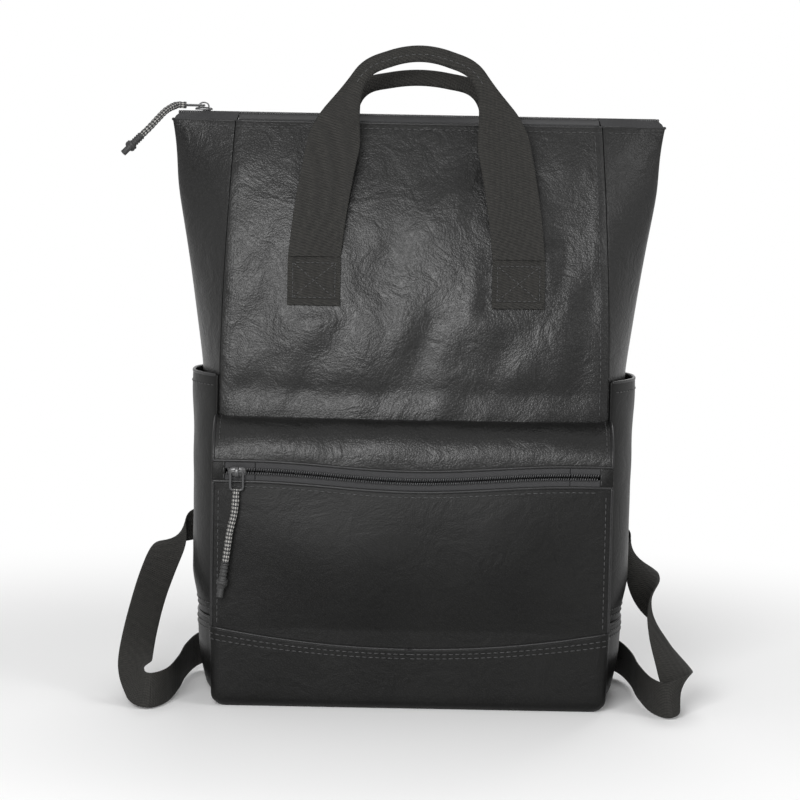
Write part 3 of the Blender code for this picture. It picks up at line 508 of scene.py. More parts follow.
class Nodes:
    """Short hand for building a node tree."""

    def __init__(self, tree: bpy.types.NodeTree) -> None:
        """Keep the tree that the nodes go into."""
        self.tree = tree

    def add(self, kind: str, inputs: Optional[dict] = None, **settings: object) -> bpy.types.Node:
        """Add a node.

        Args:
            kind: Blender's name for the node's type.
            inputs: For each input, the value to set or the socket to link.
            settings: Properties of the node.

        Returns:
            The new node.
        """
        node = self.tree.nodes.new(kind)
        for key, value in settings.items():
            setattr(node, key, value)
        for key, value in (inputs or {}).items():
            if isinstance(value, bpy.types.NodeSocket):
                self.tree.links.new(value, node.inputs[key])
            else:
                node.inputs[key].default_value = value
        return node

    def math(self, operation: str, a: object, b: object = 0.0) -> bpy.types.NodeSocket:
        """One Math node's result."""
        return self.add("ShaderNodeMath", {0: a, 1: b}, operation=operation).outputs[0]

    def noise(self, vector: bpy.types.NodeSocket, scale: object, **more: float) -> bpy.types.NodeSocket:
        """One Noise texture's value."""
        inputs = {"Vector": vector, "Scale": scale, **{key.title(): value for key, value in more.items()}}
        return self.add("ShaderNodeTexNoise", inputs).outputs[0]

    def ramp(self, value: object, stops: tuple[float, float],
             colours: tuple[Colour, Colour]) -> bpy.types.NodeSocket:
        """A colour ramp between two stops.

        Args:
            value: Socket that runs along the ramp.
            stops: Places of the two colours.
            colours: The two colours.

        Returns:
            The colour's socket.
        """
        node = self.add("ShaderNodeValToRGB", {"Fac": value})
        for element, stop, colour in zip(node.color_ramp.elements, stops, colours):
            element.position = stop
            element.color = (*colour, 1.0)
        return node.outputs[0]


def new_material(name: str) -> tuple[bpy.types.Material, Nodes, bpy.types.Node]:
    """A new node material, with its node builder and its Principled shader."""
    material = bpy.data.materials.new(name)
    material.use_nodes = True
    return material, Nodes(material.node_tree), material.node_tree.nodes["Principled BSDF"]


def group(name: str, inputs: dict[str, Optional[float]], outputs: Sequence[str]) -> tuple:
    """A new shader node group with named sockets.

    Args:
        name: The group's name.
        inputs: Default of each float input, or None for a vector.
        outputs: Names of the float outputs.

    Returns:
        The tree, a node builder, its input node's sockets and its output node.
    """
    tree = bpy.data.node_groups.new(name, "ShaderNodeTree")
    for key, value in inputs.items():
        kind = "NodeSocketVector" if value is None else "NodeSocketFloat"
        socket = tree.interface.new_socket(key, in_out="INPUT", socket_type=kind)
        if value is not None:
            socket.default_value = value
    for key in outputs:
        tree.interface.new_socket(key, in_out="OUTPUT", socket_type="NodeSocketFloat")
    build = Nodes(tree)
    return tree, build, build.add("NodeGroupInput").outputs, build.add("NodeGroupOutput")


def grain_group() -> bpy.types.NodeTree:
    """Leather: rounded pebbles parted by fine creases, soft wrinkles, and a worn tone.

    Returns:
        The group's tree.
    """
    tree, n, given, out = group("Leather grain", {
        "Vector": None, "Pebbles": 560.0, "Wrinkles": 55.0, "Smoothness": 0.3,
    }, ("Height", "Tone"))
    place = given["Vector"]
    bent = n.add("ShaderNodeTexNoise", {"Vector": place, "Scale": 180.0, "Detail": 2.0}).outputs["Color"]
    shift = n.add("ShaderNodeVectorMath", {0: bent, 1: (0.0022, 0.0022, 0.0022)}, operation="MULTIPLY")
    spot = n.add("ShaderNodeVectorMath", {0: place, 1: shift.outputs[0]}, operation="ADD")
    cell = n.add("ShaderNodeTexVoronoi", {"Vector": spot.outputs[0], "Scale": given["Pebbles"]},
                 feature="DISTANCE_TO_EDGE")
    pebble = n.add("ShaderNodeMapRange", {0: cell.outputs["Distance"], 1: 0.0, 2: 0.28, 3: 0.0, 4: 1.0},
                   interpolation_type="SMOOTHSTEP").outputs[0]
    folds = n.noise(place, given["Wrinkles"], detail=5.0, roughness=0.62, distortion=0.6)
    crease = n.math("ABSOLUTE", n.math("SUBTRACT", folds, 0.5))
    fold = n.math("MULTIPLY", n.math("MINIMUM", n.math("MULTIPLY", crease, 7.0), 1.0), 1.25)
    kept = n.math("SUBTRACT", 1.0, given["Smoothness"])
    height = n.math("MULTIPLY", n.math("ADD", n.math("MULTIPLY", pebble, 0.30), fold), kept)
    wide = n.noise(place, 14.0, detail=3.0)
    tone = n.math("ADD", n.math("MULTIPLY", pebble, 0.35), n.math("MULTIPLY", wide, 0.65))
    tree.links.new(height, out.inputs["Height"])
    tree.links.new(tone, out.inputs["Tone"])
    return tree


def weave_group() -> bpy.types.NodeTree:
    """Cloth: two crossing sets of fine threads over Object coordinates, with a little fuzz.

    Returns:
        The group's tree.
    """
    tree, n, given, out = group("Weave", {"Vector": None, "Threads": 900.0}, ("Height", "Tone"))
    waves = []
    for turn in (0.7, -0.7):
        turned = n.add("ShaderNodeMapping", {"Vector": given["Vector"], "Rotation": (turn, turn, turn)})
        scale = n.math("MULTIPLY", given["Threads"], 0.16)
        wave = n.add("ShaderNodeTexWave", {"Vector": turned.outputs[0], "Scale": scale},
                     bands_direction="DIAGONAL")
        waves.append(wave.outputs["Fac"])
    fuzz = n.noise(given["Vector"], 420.0, detail=3.0)
    height = n.math("ADD", n.math("MULTIPLY", waves[0], waves[1]), fuzz)
    tone = n.math("ADD", n.math("MULTIPLY", waves[0], 0.4), n.math("MULTIPLY", fuzz, 0.6))
    tree.links.new(height, out.inputs["Height"])
    tree.links.new(tone, out.inputs["Tone"])
    return tree


@dataclass(frozen=True)
class Finish:
    """A Principled finish whose colour, roughness and bump come from a shared effect.

    The colour runs from dark to light with the effect's tone, and the roughness between its two ends.
    """

    name: str
    effect: Effect
    scales: tuple[float, ...]
    dark: Colour
    light: Colour
    rough: tuple[float, float]
    bump: float
    depth: float
    coat: float = 0.0
    specular: float = 0.5

    def make(self, trees: dict[Effect, bpy.types.NodeTree]) -> bpy.types.Material:
        """Build the material round its effect.

        Args:
            trees: The shared effects' groups.

        Returns:
            The new material.
        """
        material, n, shader = new_material(self.name)
        place = n.add("ShaderNodeTexCoord").outputs["Object"]
        inputs = {"Vector": place, **dict(zip(self.effect.value, self.scales))}
        effect = n.add("ShaderNodeGroup", inputs, node_tree=trees[self.effect])
        tone = effect.outputs["Tone"]
        colour = n.ramp(tone, (0.25, 0.8), (self.dark, self.light))
        rough = n.add("ShaderNodeMapRange", {0: tone, 1: 0.2, 2: 0.8, 3: self.rough[0], 4: self.rough[1]})
        bump = n.add("ShaderNodeBump", {"Height": effect.outputs["Height"], "Strength": self.bump,
                                        "Distance": self.depth})
        n.tree.links.new(colour, shader.inputs["Base Color"])
        n.tree.links.new(rough.outputs[0], shader.inputs["Roughness"])
        n.tree.links.new(bump.outputs[0], shader.inputs["Normal"])
        shader.inputs["Coat Weight"].default_value = self.coat
        shader.inputs["Coat Roughness"].default_value = 0.3
        shader.inputs["Specular IOR Level"].default_value = self.specular
        return material


@dataclass(frozen=True)
class BraidFinish:
    """Round braid: black and white strands that cross in diamonds, from the cord's own UV map."""

    name: str = "cord_braid"
    strands: float = 4.0
    pitch: float = 0.0054
    dark: Colour = (0.016, 0.016, 0.017)
    light: Colour = (0.27, 0.265, 0.25)

    def make(self) -> bpy.types.Material:
        """Build the material: the product of two opposite helical waves picks the strand.

        Returns:
            The new material.
        """
        material, n, shader = new_material(self.name)
        uv = n.add("ShaderNodeSeparateXYZ", {0: n.add("ShaderNodeTexCoord").outputs["UV"]})
        turn = n.math("MULTIPLY", uv.outputs[0], self.strands * 2 * math.pi)
        run = n.math("MULTIPLY", uv.outputs[1], 2 * math.pi / self.pitch)
        one = n.math("SINE", n.math("ADD", turn, run))
        two = n.math("SINE", n.math("SUBTRACT", turn, run))
        cross = n.math("MULTIPLY", one, two)
        share = n.math("ADD", n.math("MULTIPLY", cross, 0.5), 0.5)
        colour = n.ramp(share, (0.52, 0.66), (self.dark, self.light))
        bump = n.add("ShaderNodeBump", {"Height": n.math("ABSOLUTE", cross), "Strength": 0.6,
                                        "Distance": 0.0005})
        n.tree.links.new(colour, shader.inputs["Base Color"])
        n.tree.links.new(bump.outputs[0], shader.inputs["Normal"])
        shader.inputs["Roughness"].default_value = 0.78
        return material


BLACK = (0.0042, 0.0042, 0.0041)
LEATHER = Finish("black_leather", Effect.GRAIN, (520.0, 40.0, 0.1), BLACK, (0.011, 0.011, 0.0107),
                 (0.31, 0.46), 0.26, 0.0010, specular=0.27)
SMOOTH_LEATHER = Finish("smooth_leather", Effect.GRAIN, (620.0, 34.0, 0.4), BLACK, (0.0085, 0.0085, 0.0082),
                        (0.36, 0.50), 0.20, 0.0009, specular=0.13)
LEATHER_EDGE = Finish("leather_edge", Effect.GRAIN, (700.0, 90.0, 0.4), (0.0065, 0.0065, 0.0066),
                      (0.017, 0.017, 0.0172), (0.34, 0.46), 0.15, 0.0005, specular=0.26)
WEBBING = Finish("black_webbing", Effect.WEAVE, (1500.0,), (0.011, 0.0108, 0.0101), (0.030, 0.029, 0.0265),
                 (0.74, 0.9), 0.5, 0.0004, specular=0.2)
ZIP_TAPE = Finish("zip_tape", Effect.WEAVE, (2200.0,), (0.010, 0.010, 0.011), (0.026, 0.026, 0.027),
                  (0.75, 0.9), 0.4, 0.0003)
ZIP_TEETH = Finish("zip_teeth", Effect.GRAIN, (1500.0, 200.0, 0.5), (0.014, 0.014, 0.015),
                   (0.030, 0.030, 0.031), (0.28, 0.40), 0.1, 0.0002)
SLIDER_METAL = Finish("slider_metal", Effect.GRAIN, (1800.0, 150.0, 0.5), (0.020, 0.020, 0.021),
                      (0.045, 0.045, 0.046), (0.26, 0.42), 0.08, 0.0002, coat=0.3)
CORD_END = Finish("cord_end", Effect.WEAVE, (1800.0,), (0.011, 0.011, 0.011), (0.022, 0.022, 0.022),
                  (0.55, 0.7), 0.25, 0.0003)
BUCKLE = Finish("buckle_plastic", Effect.GRAIN, (2200.0, 120.0, 0.5), (0.013, 0.013, 0.014),
                (0.022, 0.022, 0.023), (0.38, 0.5), 0.2, 0.0002)
THREAD = Finish("thread", Effect.WEAVE, (3000.0,), (0.011, 0.011, 0.0112), (0.034, 0.034, 0.0345),
                (0.45, 0.6), 0.3, 0.0002)
LINING = Finish("lining_cloth", Effect.WEAVE, (1600.0,), (0.030, 0.030, 0.033), (0.065, 0.065, 0.070),
                (0.8, 0.92), 0.4, 0.0003)
FOAM = Finish("foam", Effect.GRAIN, (900.0, 80.0, 0.1), (0.05, 0.05, 0.05), (0.10, 0.10, 0.10),
              (0.9, 0.97), 0.5, 0.0006)
BOARD = Finish("stiff_board", Effect.WEAVE, (700.0,), (0.07, 0.063, 0.056), (0.13, 0.117, 0.104),
               (0.75, 0.88), 0.3, 0.0003)


class Finishes:
    """Every finish of the bag, made once."""

    def __init__(self) -> None:
        """Build the shared effects and the materials on them."""
        trees = {Effect.GRAIN: grain_group(), Effect.WEAVE: weave_group()}
        self.leather = LEATHER.make(trees)
        self.smooth = SMOOTH_LEATHER.make(trees)
        self.edge = LEATHER_EDGE.make(trees)
        self.webbing = WEBBING.make(trees)
        self.tape = ZIP_TAPE.make(trees)
        self.teeth = ZIP_TEETH.make(trees)
        self.metal = SLIDER_METAL.make(trees)
        self.rubber = CORD_END.make(trees)
        self.plastic = BUCKLE.make(trees)
        self.thread = THREAD.make(trees)
        self.lining = LINING.make(trees)
        self.foam = FOAM.make(trees)
        self.board = BOARD.make(trees)
        self.braid = BraidFinish().make()


# The bag's form


@dataclass(frozen=True)
class BagForm:
    """Sizes of the bag's body and the surfaces that follow from them.

    They repeat the solids' sizes, except that the soft sides have slack and draw in less at the foot.
    """

    leather: float = 0.0016
    gap: float = 0.0004
    top_z: float = 0.419
    shoulder_z: float = 0.240
    low_z: float = 0.010
    front_y: float = -0.034
    back_at: float = 0.064
    zip_y: float = 0.012
    mouth: float = 0.024
    seam_half: float = 0.1405
    seam_top_half: float = 0.1335
    side_half: float = 0.1515
    wing_half: float = 0.1800
    bulge: float = 0.008
    sharpness: float = 0.7
    foot_height: float = 0.080
    foot_in: float = 0.005
    slack: float = 0.003
    shoulder_slack: float = 0.0028
    slack_z: float = 0.295
    slack_reach: float = 0.055
    boot_z: float = 0.058
    boot_dip: float = 0.014
    boot_front_half: float = 0.1435
    boot_back_half: float = 0.1455
    boot_front_y: float = -0.0665
    boot_back_y: float = 0.067
    boot_corner: float = 0.005
    boot_edge: float = 0.006
    boot_wall: float = 0.002
    boot_ease: float = 0.0009
    side_pocket_z: float = 0.236
    pocket_y: float = -0.066
    pocket_half: float = 0.1433
    pocket_bulge: float = 0.005
    lower_welt_z: float = 0.1635
    upper_welt_z: float = 0.178
    hood_rise: float = 0.029
    pocket_sag: float = 0.0055
    sag_half: float = 0.119
    handle_x: float = 0.0735
    sewn_z: float = 0.308
    sewn_half: tuple[float, float] = (0.036, 0.034)
    sewn_ease: float = 0.014

    def rise(self, z: Array) -> Array:
        """Share of the way from the shoulder to the top edge."""
        return np.clip((z - self.shoulder_z) / (self.top_z - self.shoulder_z), 0.0, 1.0)

    def height(self, v: Array) -> Array:
        """Height at share v of the panels."""
        return self.low_z + (self.top_z - self.low_z) * v

    def foot(self, z: Array) -> Array:
        """How far the sides draw in towards the base."""
        return self.foot_in * np.maximum(0.0, 1.0 - z / self.foot_height) ** 2

    def seam_x(self, z: Array) -> Array:
        """Half the width between the panel's side seams."""
        taper = (self.seam_top_half - self.seam_half) * self.rise(z) ** 1.5
        return self.seam_half + taper - 0.6 * self.foot(z)

    def front_seam_y(self, z: Array) -> Array:
        """Depth of the front seams."""
        return self.front_y + (self.zip_y - self.mouth / 2 - self.front_y) * self.rise(z) ** 2

    def back_y(self, z: Array) -> Array:
        """Outer face of the back panel."""
        return self.back_at + (self.zip_y + self.mouth / 2 - self.back_at) * self.rise(z) ** 2

    def fullness(self, z: Array) -> Array:
        """How far the soft sides belly out: most below the wings, and none at the zip or the floor."""
        belly = self.slack + self.shoulder_slack * np.exp(-(((z - self.slack_z) / self.slack_reach) ** 2))
        return belly * smooth(z, 0.0, 0.03) * smooth(self.top_z - z, 0.0, 0.05)

    def tip_x(self, z: Array) -> Array:
        """Half the bag's width at the middle of the gusset, with the fullness of its soft sides."""
        wing = (self.wing_half - self.side_half) * self.rise(z) ** 1.3
        return self.side_half + wing - self.foot(z) + self.fullness(z)

    def crown(self, x: Array, z: Array) -> Array:
        """Front panel's even face: its seams' depth less a bulge that falls with the square of x."""
        share = np.clip(np.abs(x) / self.seam_x(z), 0.0, 1.0)
        return self.front_seam_y(z) - self.bulge * np.sin(np.pi * z / self.top_z) * (1.0 - share**2)

    def front_face(self, x: Array, z: Array) -> Array:
        """Front panel's face: its crown, slack and dented as soft leather is, but flat under the sewn ends.

        Args:
            x: Places across the panel.
            z: Heights on the panel.

        Returns:
            The face's y.
        """
        share = np.clip(np.abs(x) / self.seam_x(z), 0.0, 1.0)
        calm = (1.0 - smooth(share, 0.90, 1.0)) * smooth(self.top_z - z, 0.004, 0.05) * smooth(z, 0.19, 0.23)
        sewn = (smooth(self.sewn_half[0] - np.abs(np.abs(x) - self.handle_x), 0.0, self.sewn_ease)
                * smooth(self.sewn_half[1] - np.abs(z - self.sewn_z), 0.0, self.sewn_ease))
        dents = 0.0015 * ripple(x, z, 0.095, 3) + 0.0007 * ripple(x, z * 0.6, 0.034, 8)
        slouch = 0.0016 * np.exp(-((z - 0.224 - 0.10 * x * x) / 0.010) ** 2)
        roll = 0.0013 * smooth(share, 0.955, 1.0)
        return self.crown(x, z) + calm * (1.0 - sewn) * (np.clip(dents, -0.0022, 0.0022) + slouch) + roll

    def gusset(self, t: Array, z: Array, proud: Array | float = 0.0) -> Array:
        """Right gusset: a bow from the front seam to the back seam that sharpens upwards.

        Args:
            t: Share of the way from front to back.
            z: Heights.
            proud: How far each point stands out.

        Returns:
            Points on the gusset.
        """
        inset = self.leather + self.gap
        front, back = self.front_seam_y(z) + inset, self.back_y(z) - inset
        bow = 1.0 - np.abs(2.0 * t - 1.0) ** (2.0 - self.sharpness * self.rise(z))
        x = self.seam_x(z) + (self.tip_x(z) - self.seam_x(z)) * bow + proud
        return np.stack([x, front + (back - front) * t, z], -1)

    def boot_rim(self, x: Array) -> Array:
        """Top edge of the boot's front."""
        return self.boot_z - self.boot_dip * (1.0 - np.clip(np.abs(x) / self.boot_front_half, 0.0, 1.0) ** 2)

    def sag(self, x: Array) -> Array:
        """How far the pocket's zip hangs below its straight line, as a cosine squared between its ends."""
        return self.pocket_sag * np.cos(np.pi / 2 * np.clip(np.abs(x) / self.sag_half, 0.0, 1.0)) ** 2

    def pocket_face(self, x: Array, z: Array) -> Array:
        """Pocket's front: flat along the zip and crowned below it, a little uneven.

        Args:
            x: Places across the pocket.
            z: Heights on the pocket.

        Returns:
            The face's y.
        """
        share = np.clip(np.abs(x) / self.pocket_half, 0.0, 1.0)
        height = np.clip((z - self.boot_z) / (self.lower_welt_z - self.boot_z), 0.0, 1.0)
        soft = 0.0008 * ripple(x, z, 0.11, 21) * np.sin(np.pi * height) * (1.0 - share**4)
        return self.pocket_y - self.pocket_bulge * np.sin(np.pi * height) * (1.0 - share**2) + soft


FORM = BagForm()


def on_side(surface: Surface, side: Side) -> Surface:
    """A surface of the right side, or its mirror image on the left with its normals still outwards."""
    if side is Side.RIGHT:
        return surface
    return lambda u, v: surface(1.0 - u, v) * np.array([-1.0, 1.0, 1.0])


# Sub-assemblies


@dataclass
class Body:
    """Front and back panels, gussets, boot and side pockets."""

    finish: Finishes
    form: BagForm = FORM
    seam_inset: float = 0.0045
    panel_run: float = 0.41
    top_edge: float = 0.999
    side_rows: tuple[float, float] = (0.022, 0.978)
    pocket_rows: tuple[float, float, float] = (0.957, 0.03, 0.055)
    edge_radius: float = 0.0011
    pocket_edge_radius: float = 0.00125
    boot_edge_radius: float = 0.0010
    boot_rows: tuple[float, float] = (0.0045, 0.0085)
    boot_levels: tuple[float, ...] = (0.0, 0.012, 0.03, 0.05, 0.08, 0.11, 0.15, 0.25, 0.4, 0.55, 0.7, 0.85,
                                      0.97, 1.0)

    @property
    def top_row(self) -> float:
        """Share of the panels' height at which the seam under the top edge runs."""
        return 1.0 - self.seam_inset / self.panel_run

    def front(self, u: Array, v: Array) -> Array:
        """Front panel: width times u, height times v, pushed forward by its crown."""
        z = self.form.height(v)
        x = (2.0 * u - 1.0) * (self.form.seam_x(z) - self.form.gap)
        return np.stack([x, self.form.front_face(x, z), z], -1)

    def back(self, u: Array, v: Array) -> Array:
        """Back panel: padded panel, lightly pillowed inside its edges.

        Args:
            u: Share of the width, from right to left.
            v: Share of the height.

        Returns:
            Points on the panel.
        """
        z = self.form.height(v)
        x = (1.0 - 2.0 * u) * (self.form.seam_x(z) - self.form.gap)
        share = np.abs(2.0 * u - 1.0)
        calm = (1.0 - smooth(share, 0.86, 1.0)) * smooth(v, 0.14, 0.3) * smooth(1.0 - v, 0.35, 0.5)
        y = self.form.back_y(z) + calm * 0.0006 * ripple(x, z, 0.08, 31)
        return np.stack([x, y, z], -1)

    def gusset(self, u: Array, v: Array) -> Array:
        """Gusset with soft upright folds that grow towards the wing."""
        z = self.form.height(v)
        calm = np.sin(np.pi * u) ** 2 * self.form.rise(z) * smooth(self.form.top_z - z, 0.004, 0.06)
        return self.form.gusset(u, z, calm * 0.0022 * ripple(u * 0.10, z * 0.45, 0.05, 5))

    def side_pocket(self, u: Array, v: Array) -> Array:
        """Slip pocket standing off the gusset, its rim flared.

        Args:
            u: Share of the way from front to back.
            v: Share of the height.

        Returns:
            Points on the pocket.
        """
        low = self.form.boot_z + 2 * self.form.gap
        z = low + (self.form.side_pocket_z - low) * v
        uneven = 0.0012 * v**3 + 0.0005 * v * ripple(u * 0.1, z, 0.045, 12)
        gape = 0.0045 * smooth(z, low, low + 0.032) + uneven
        return self.form.gusset(u, z, self.form.gap * 1.5 + gape * np.maximum(np.sin(np.pi * u), 0.0) ** 0.6)

    def boot_ring(self, share: float, count: int = 200) -> Array:
        """One level of the boot: a rounded rectangle with bowed sides, read at equal distances.

        Args:
            share: Share of the boot's height.
            count: Points of the ring.

        Returns:
            The ring's points, from the middle of the front past the right side.
        """
        f, turn = self.form, self.form.boot_corner
        inset = f.boot_edge * max(0.0, 1.0 - share / 0.15) ** 2.2
        front, back = f.boot_front_y + inset, f.boot_back_y - inset
        draw = f.foot_in / 3 * (1.0 - share)
        front_x, back_x = f.boot_front_half - draw - inset, f.boot_back_half - draw - inset
        middle = float(f.tip_x(np.array(f.boot_z * share))) + f.boot_wall + f.boot_ease - inset
        belly = middle - (front_x + back_x) / 2
        a = np.radians(span(8, -90, 0))
        corner = np.stack([front_x - turn + turn * np.cos(a), front + turn + turn * np.sin(a)], 1)
        s = span(30)[1:-1]
        y = front + turn + (back - front - 2 * turn) * s
        t = np.clip((y - f.front_y) / (f.back_at - f.front_y), 0.0, 1.0)
        flank = np.stack([front_x + (back_x - front_x) * s + belly * 4 * t * (1 - t), y], 1)
        a = np.radians(span(8, 0, 90))
        heel = np.stack([back_x - turn + turn * np.cos(a), back - turn + turn * np.sin(a)], 1)
        plan = even(np.vstack([[[0.0, front]], corner, flank, heel, [[0.0, back]]]), count // 2 + 1)
        plan = np.vstack([plan, plan[-2:0:-1] * np.array([-1.0, 1.0])])
        rim = np.where(plan[:, 1] < front + turn, f.boot_rim(plan[:, 0]), f.boot_z)
        return np.column_stack([plan, rim * share])

    def build(self) -> None:
        """Make and dress the body's pieces, their piping and their stitching."""
        m, rows, piping = self.finish, [], []
        self.panels(rows)
        for side in Side:
            self.flank(side, rows, piping)
        for word, surface in (("front", self.front), ("back", self.back)):
            line = lifted(course(surface, self.top_edge, 160), -self.form.leather / 2)
            piping.append(tube(f"{word}_top_edge", line, self.edge_radius))
        self.boot(rows, piping)
        for piece in piping:
            seat(piece, "bag", "black_leather", m.edge)
        seat(stitches("body_stitching", rows), "bag", "black_leather", m.thread)

    def panels(self, rows: list[Row]) -> None:
        """Front and back panel.

        Args:
            rows: Rows of stitches, which grow by those of the panels.
        """
        wall, leather = self.form.leather, self.finish.leather
        seat(patch("front_panel_leather", self.front, 130, 180, wall=wall), "bag", "black_leather", leather,
             "front_panel")
        seat(patch("back_panel_leather", self.back, 80, 120, wall=wall), "bag", "black_leather", leather,
             "back_panel")
        rows += [course(surface, self.top_row, 300) for surface in (self.front, self.back)]
        for edge in self.side_rows:
            rows += [column(self.front, edge, 260, 0.49, 0.985), column(self.back, edge, 260, 0.13, 0.985)]

    def flank(self, side: Side, rows: list[Row], piping: list[bpy.types.Object]) -> None:
        """Gusset and slip pocket of one side.

        Args:
            side: Which side.
            rows: Rows of stitches, which grow by those of the side.
            piping: Piping, which grows by that of the side.
        """
        wall, m, word = self.form.leather, self.finish, side.word
        gusset, pocket = on_side(self.gusset, side), on_side(self.side_pocket, side)
        seat(patch(f"{word}_gusset_leather", gusset, 64, 130, wall=wall), "bag", "black_leather", m.leather,
             f"{word}_gusset")
        seat(patch(f"{word}_side_pocket_leather", pocket, 64, 70, wall=wall, outwards=True), "bag",
             "black_leather", m.smooth, f"{word}_side_pocket")
        rows += [course(gusset, self.top_row, 90, near, far) for near, far in ((0.03, 0.46), (0.54, 0.97))]
        for level in self.pocket_rows:
            row = course(pocket, level, 160, 0.03, 0.97)
            rows.append((lifted(row, wall), row[1]))
        rim = lifted(course(pocket, 0.998, 160, 0.01, 0.99), wall / 2)
        piping.append(tube(f"{word}_side_pocket_edge", rim, self.pocket_edge_radius))
        top = lifted(course(gusset, self.top_edge, 120), -wall / 2)
        piping.append(tube(f"{word}_wing_edge", top, self.edge_radius))

    def boot(self, rows: list[Row], piping: list[bpy.types.Object]) -> None:
        """The boot, with its floor and the shelf that closes its rim to the panels.

        Args:
            rows: Rows of stitches, which grow by those of the boot.
            piping: Piping, which grows by the boot's edge.
        """
        f, m = self.form, self.finish
        rings = np.stack([self.boot_ring(share) for share in self.boot_levels])
        seat(skin("base_boot_leather", rings, closed=True, floored=True, wall=f.boot_wall), "bag",
             "black_leather", m.smooth, "base_boot")
        rim = self.boot_ring(1.0)
        out = unit(np.cross(np.roll(rim, -1, 0) - np.roll(rim, 1, 0), rim - self.boot_ring(0.9)))
        for drop in self.boot_rows:
            ring = self.boot_ring(1.0 - drop / f.boot_z)
            rows.append((np.vstack([ring, ring[:1]]), np.vstack([out, out[:1]])))
        shelf = np.stack([rim * np.array([0.996, 0.994, 1.0]) - np.array([0.0, 0.0, 0.0012]),
                          rim * np.array([0.94, 0.86, 1.0]) - np.array([0.0, 0.0, 0.0016])])
        seat(skin("base_boot_shelf", shelf, closed=True, wall=0.001), "bag", "black_leather", m.smooth)
        rim = np.vstack([rim, rim[:1]])
        inner = rim - unit(rim * np.array([1.0, 1.0, 0.0])) * f.boot_wall * 0.4
        piping.append(tube("base_boot_edge", inner, self.boot_edge_radius))


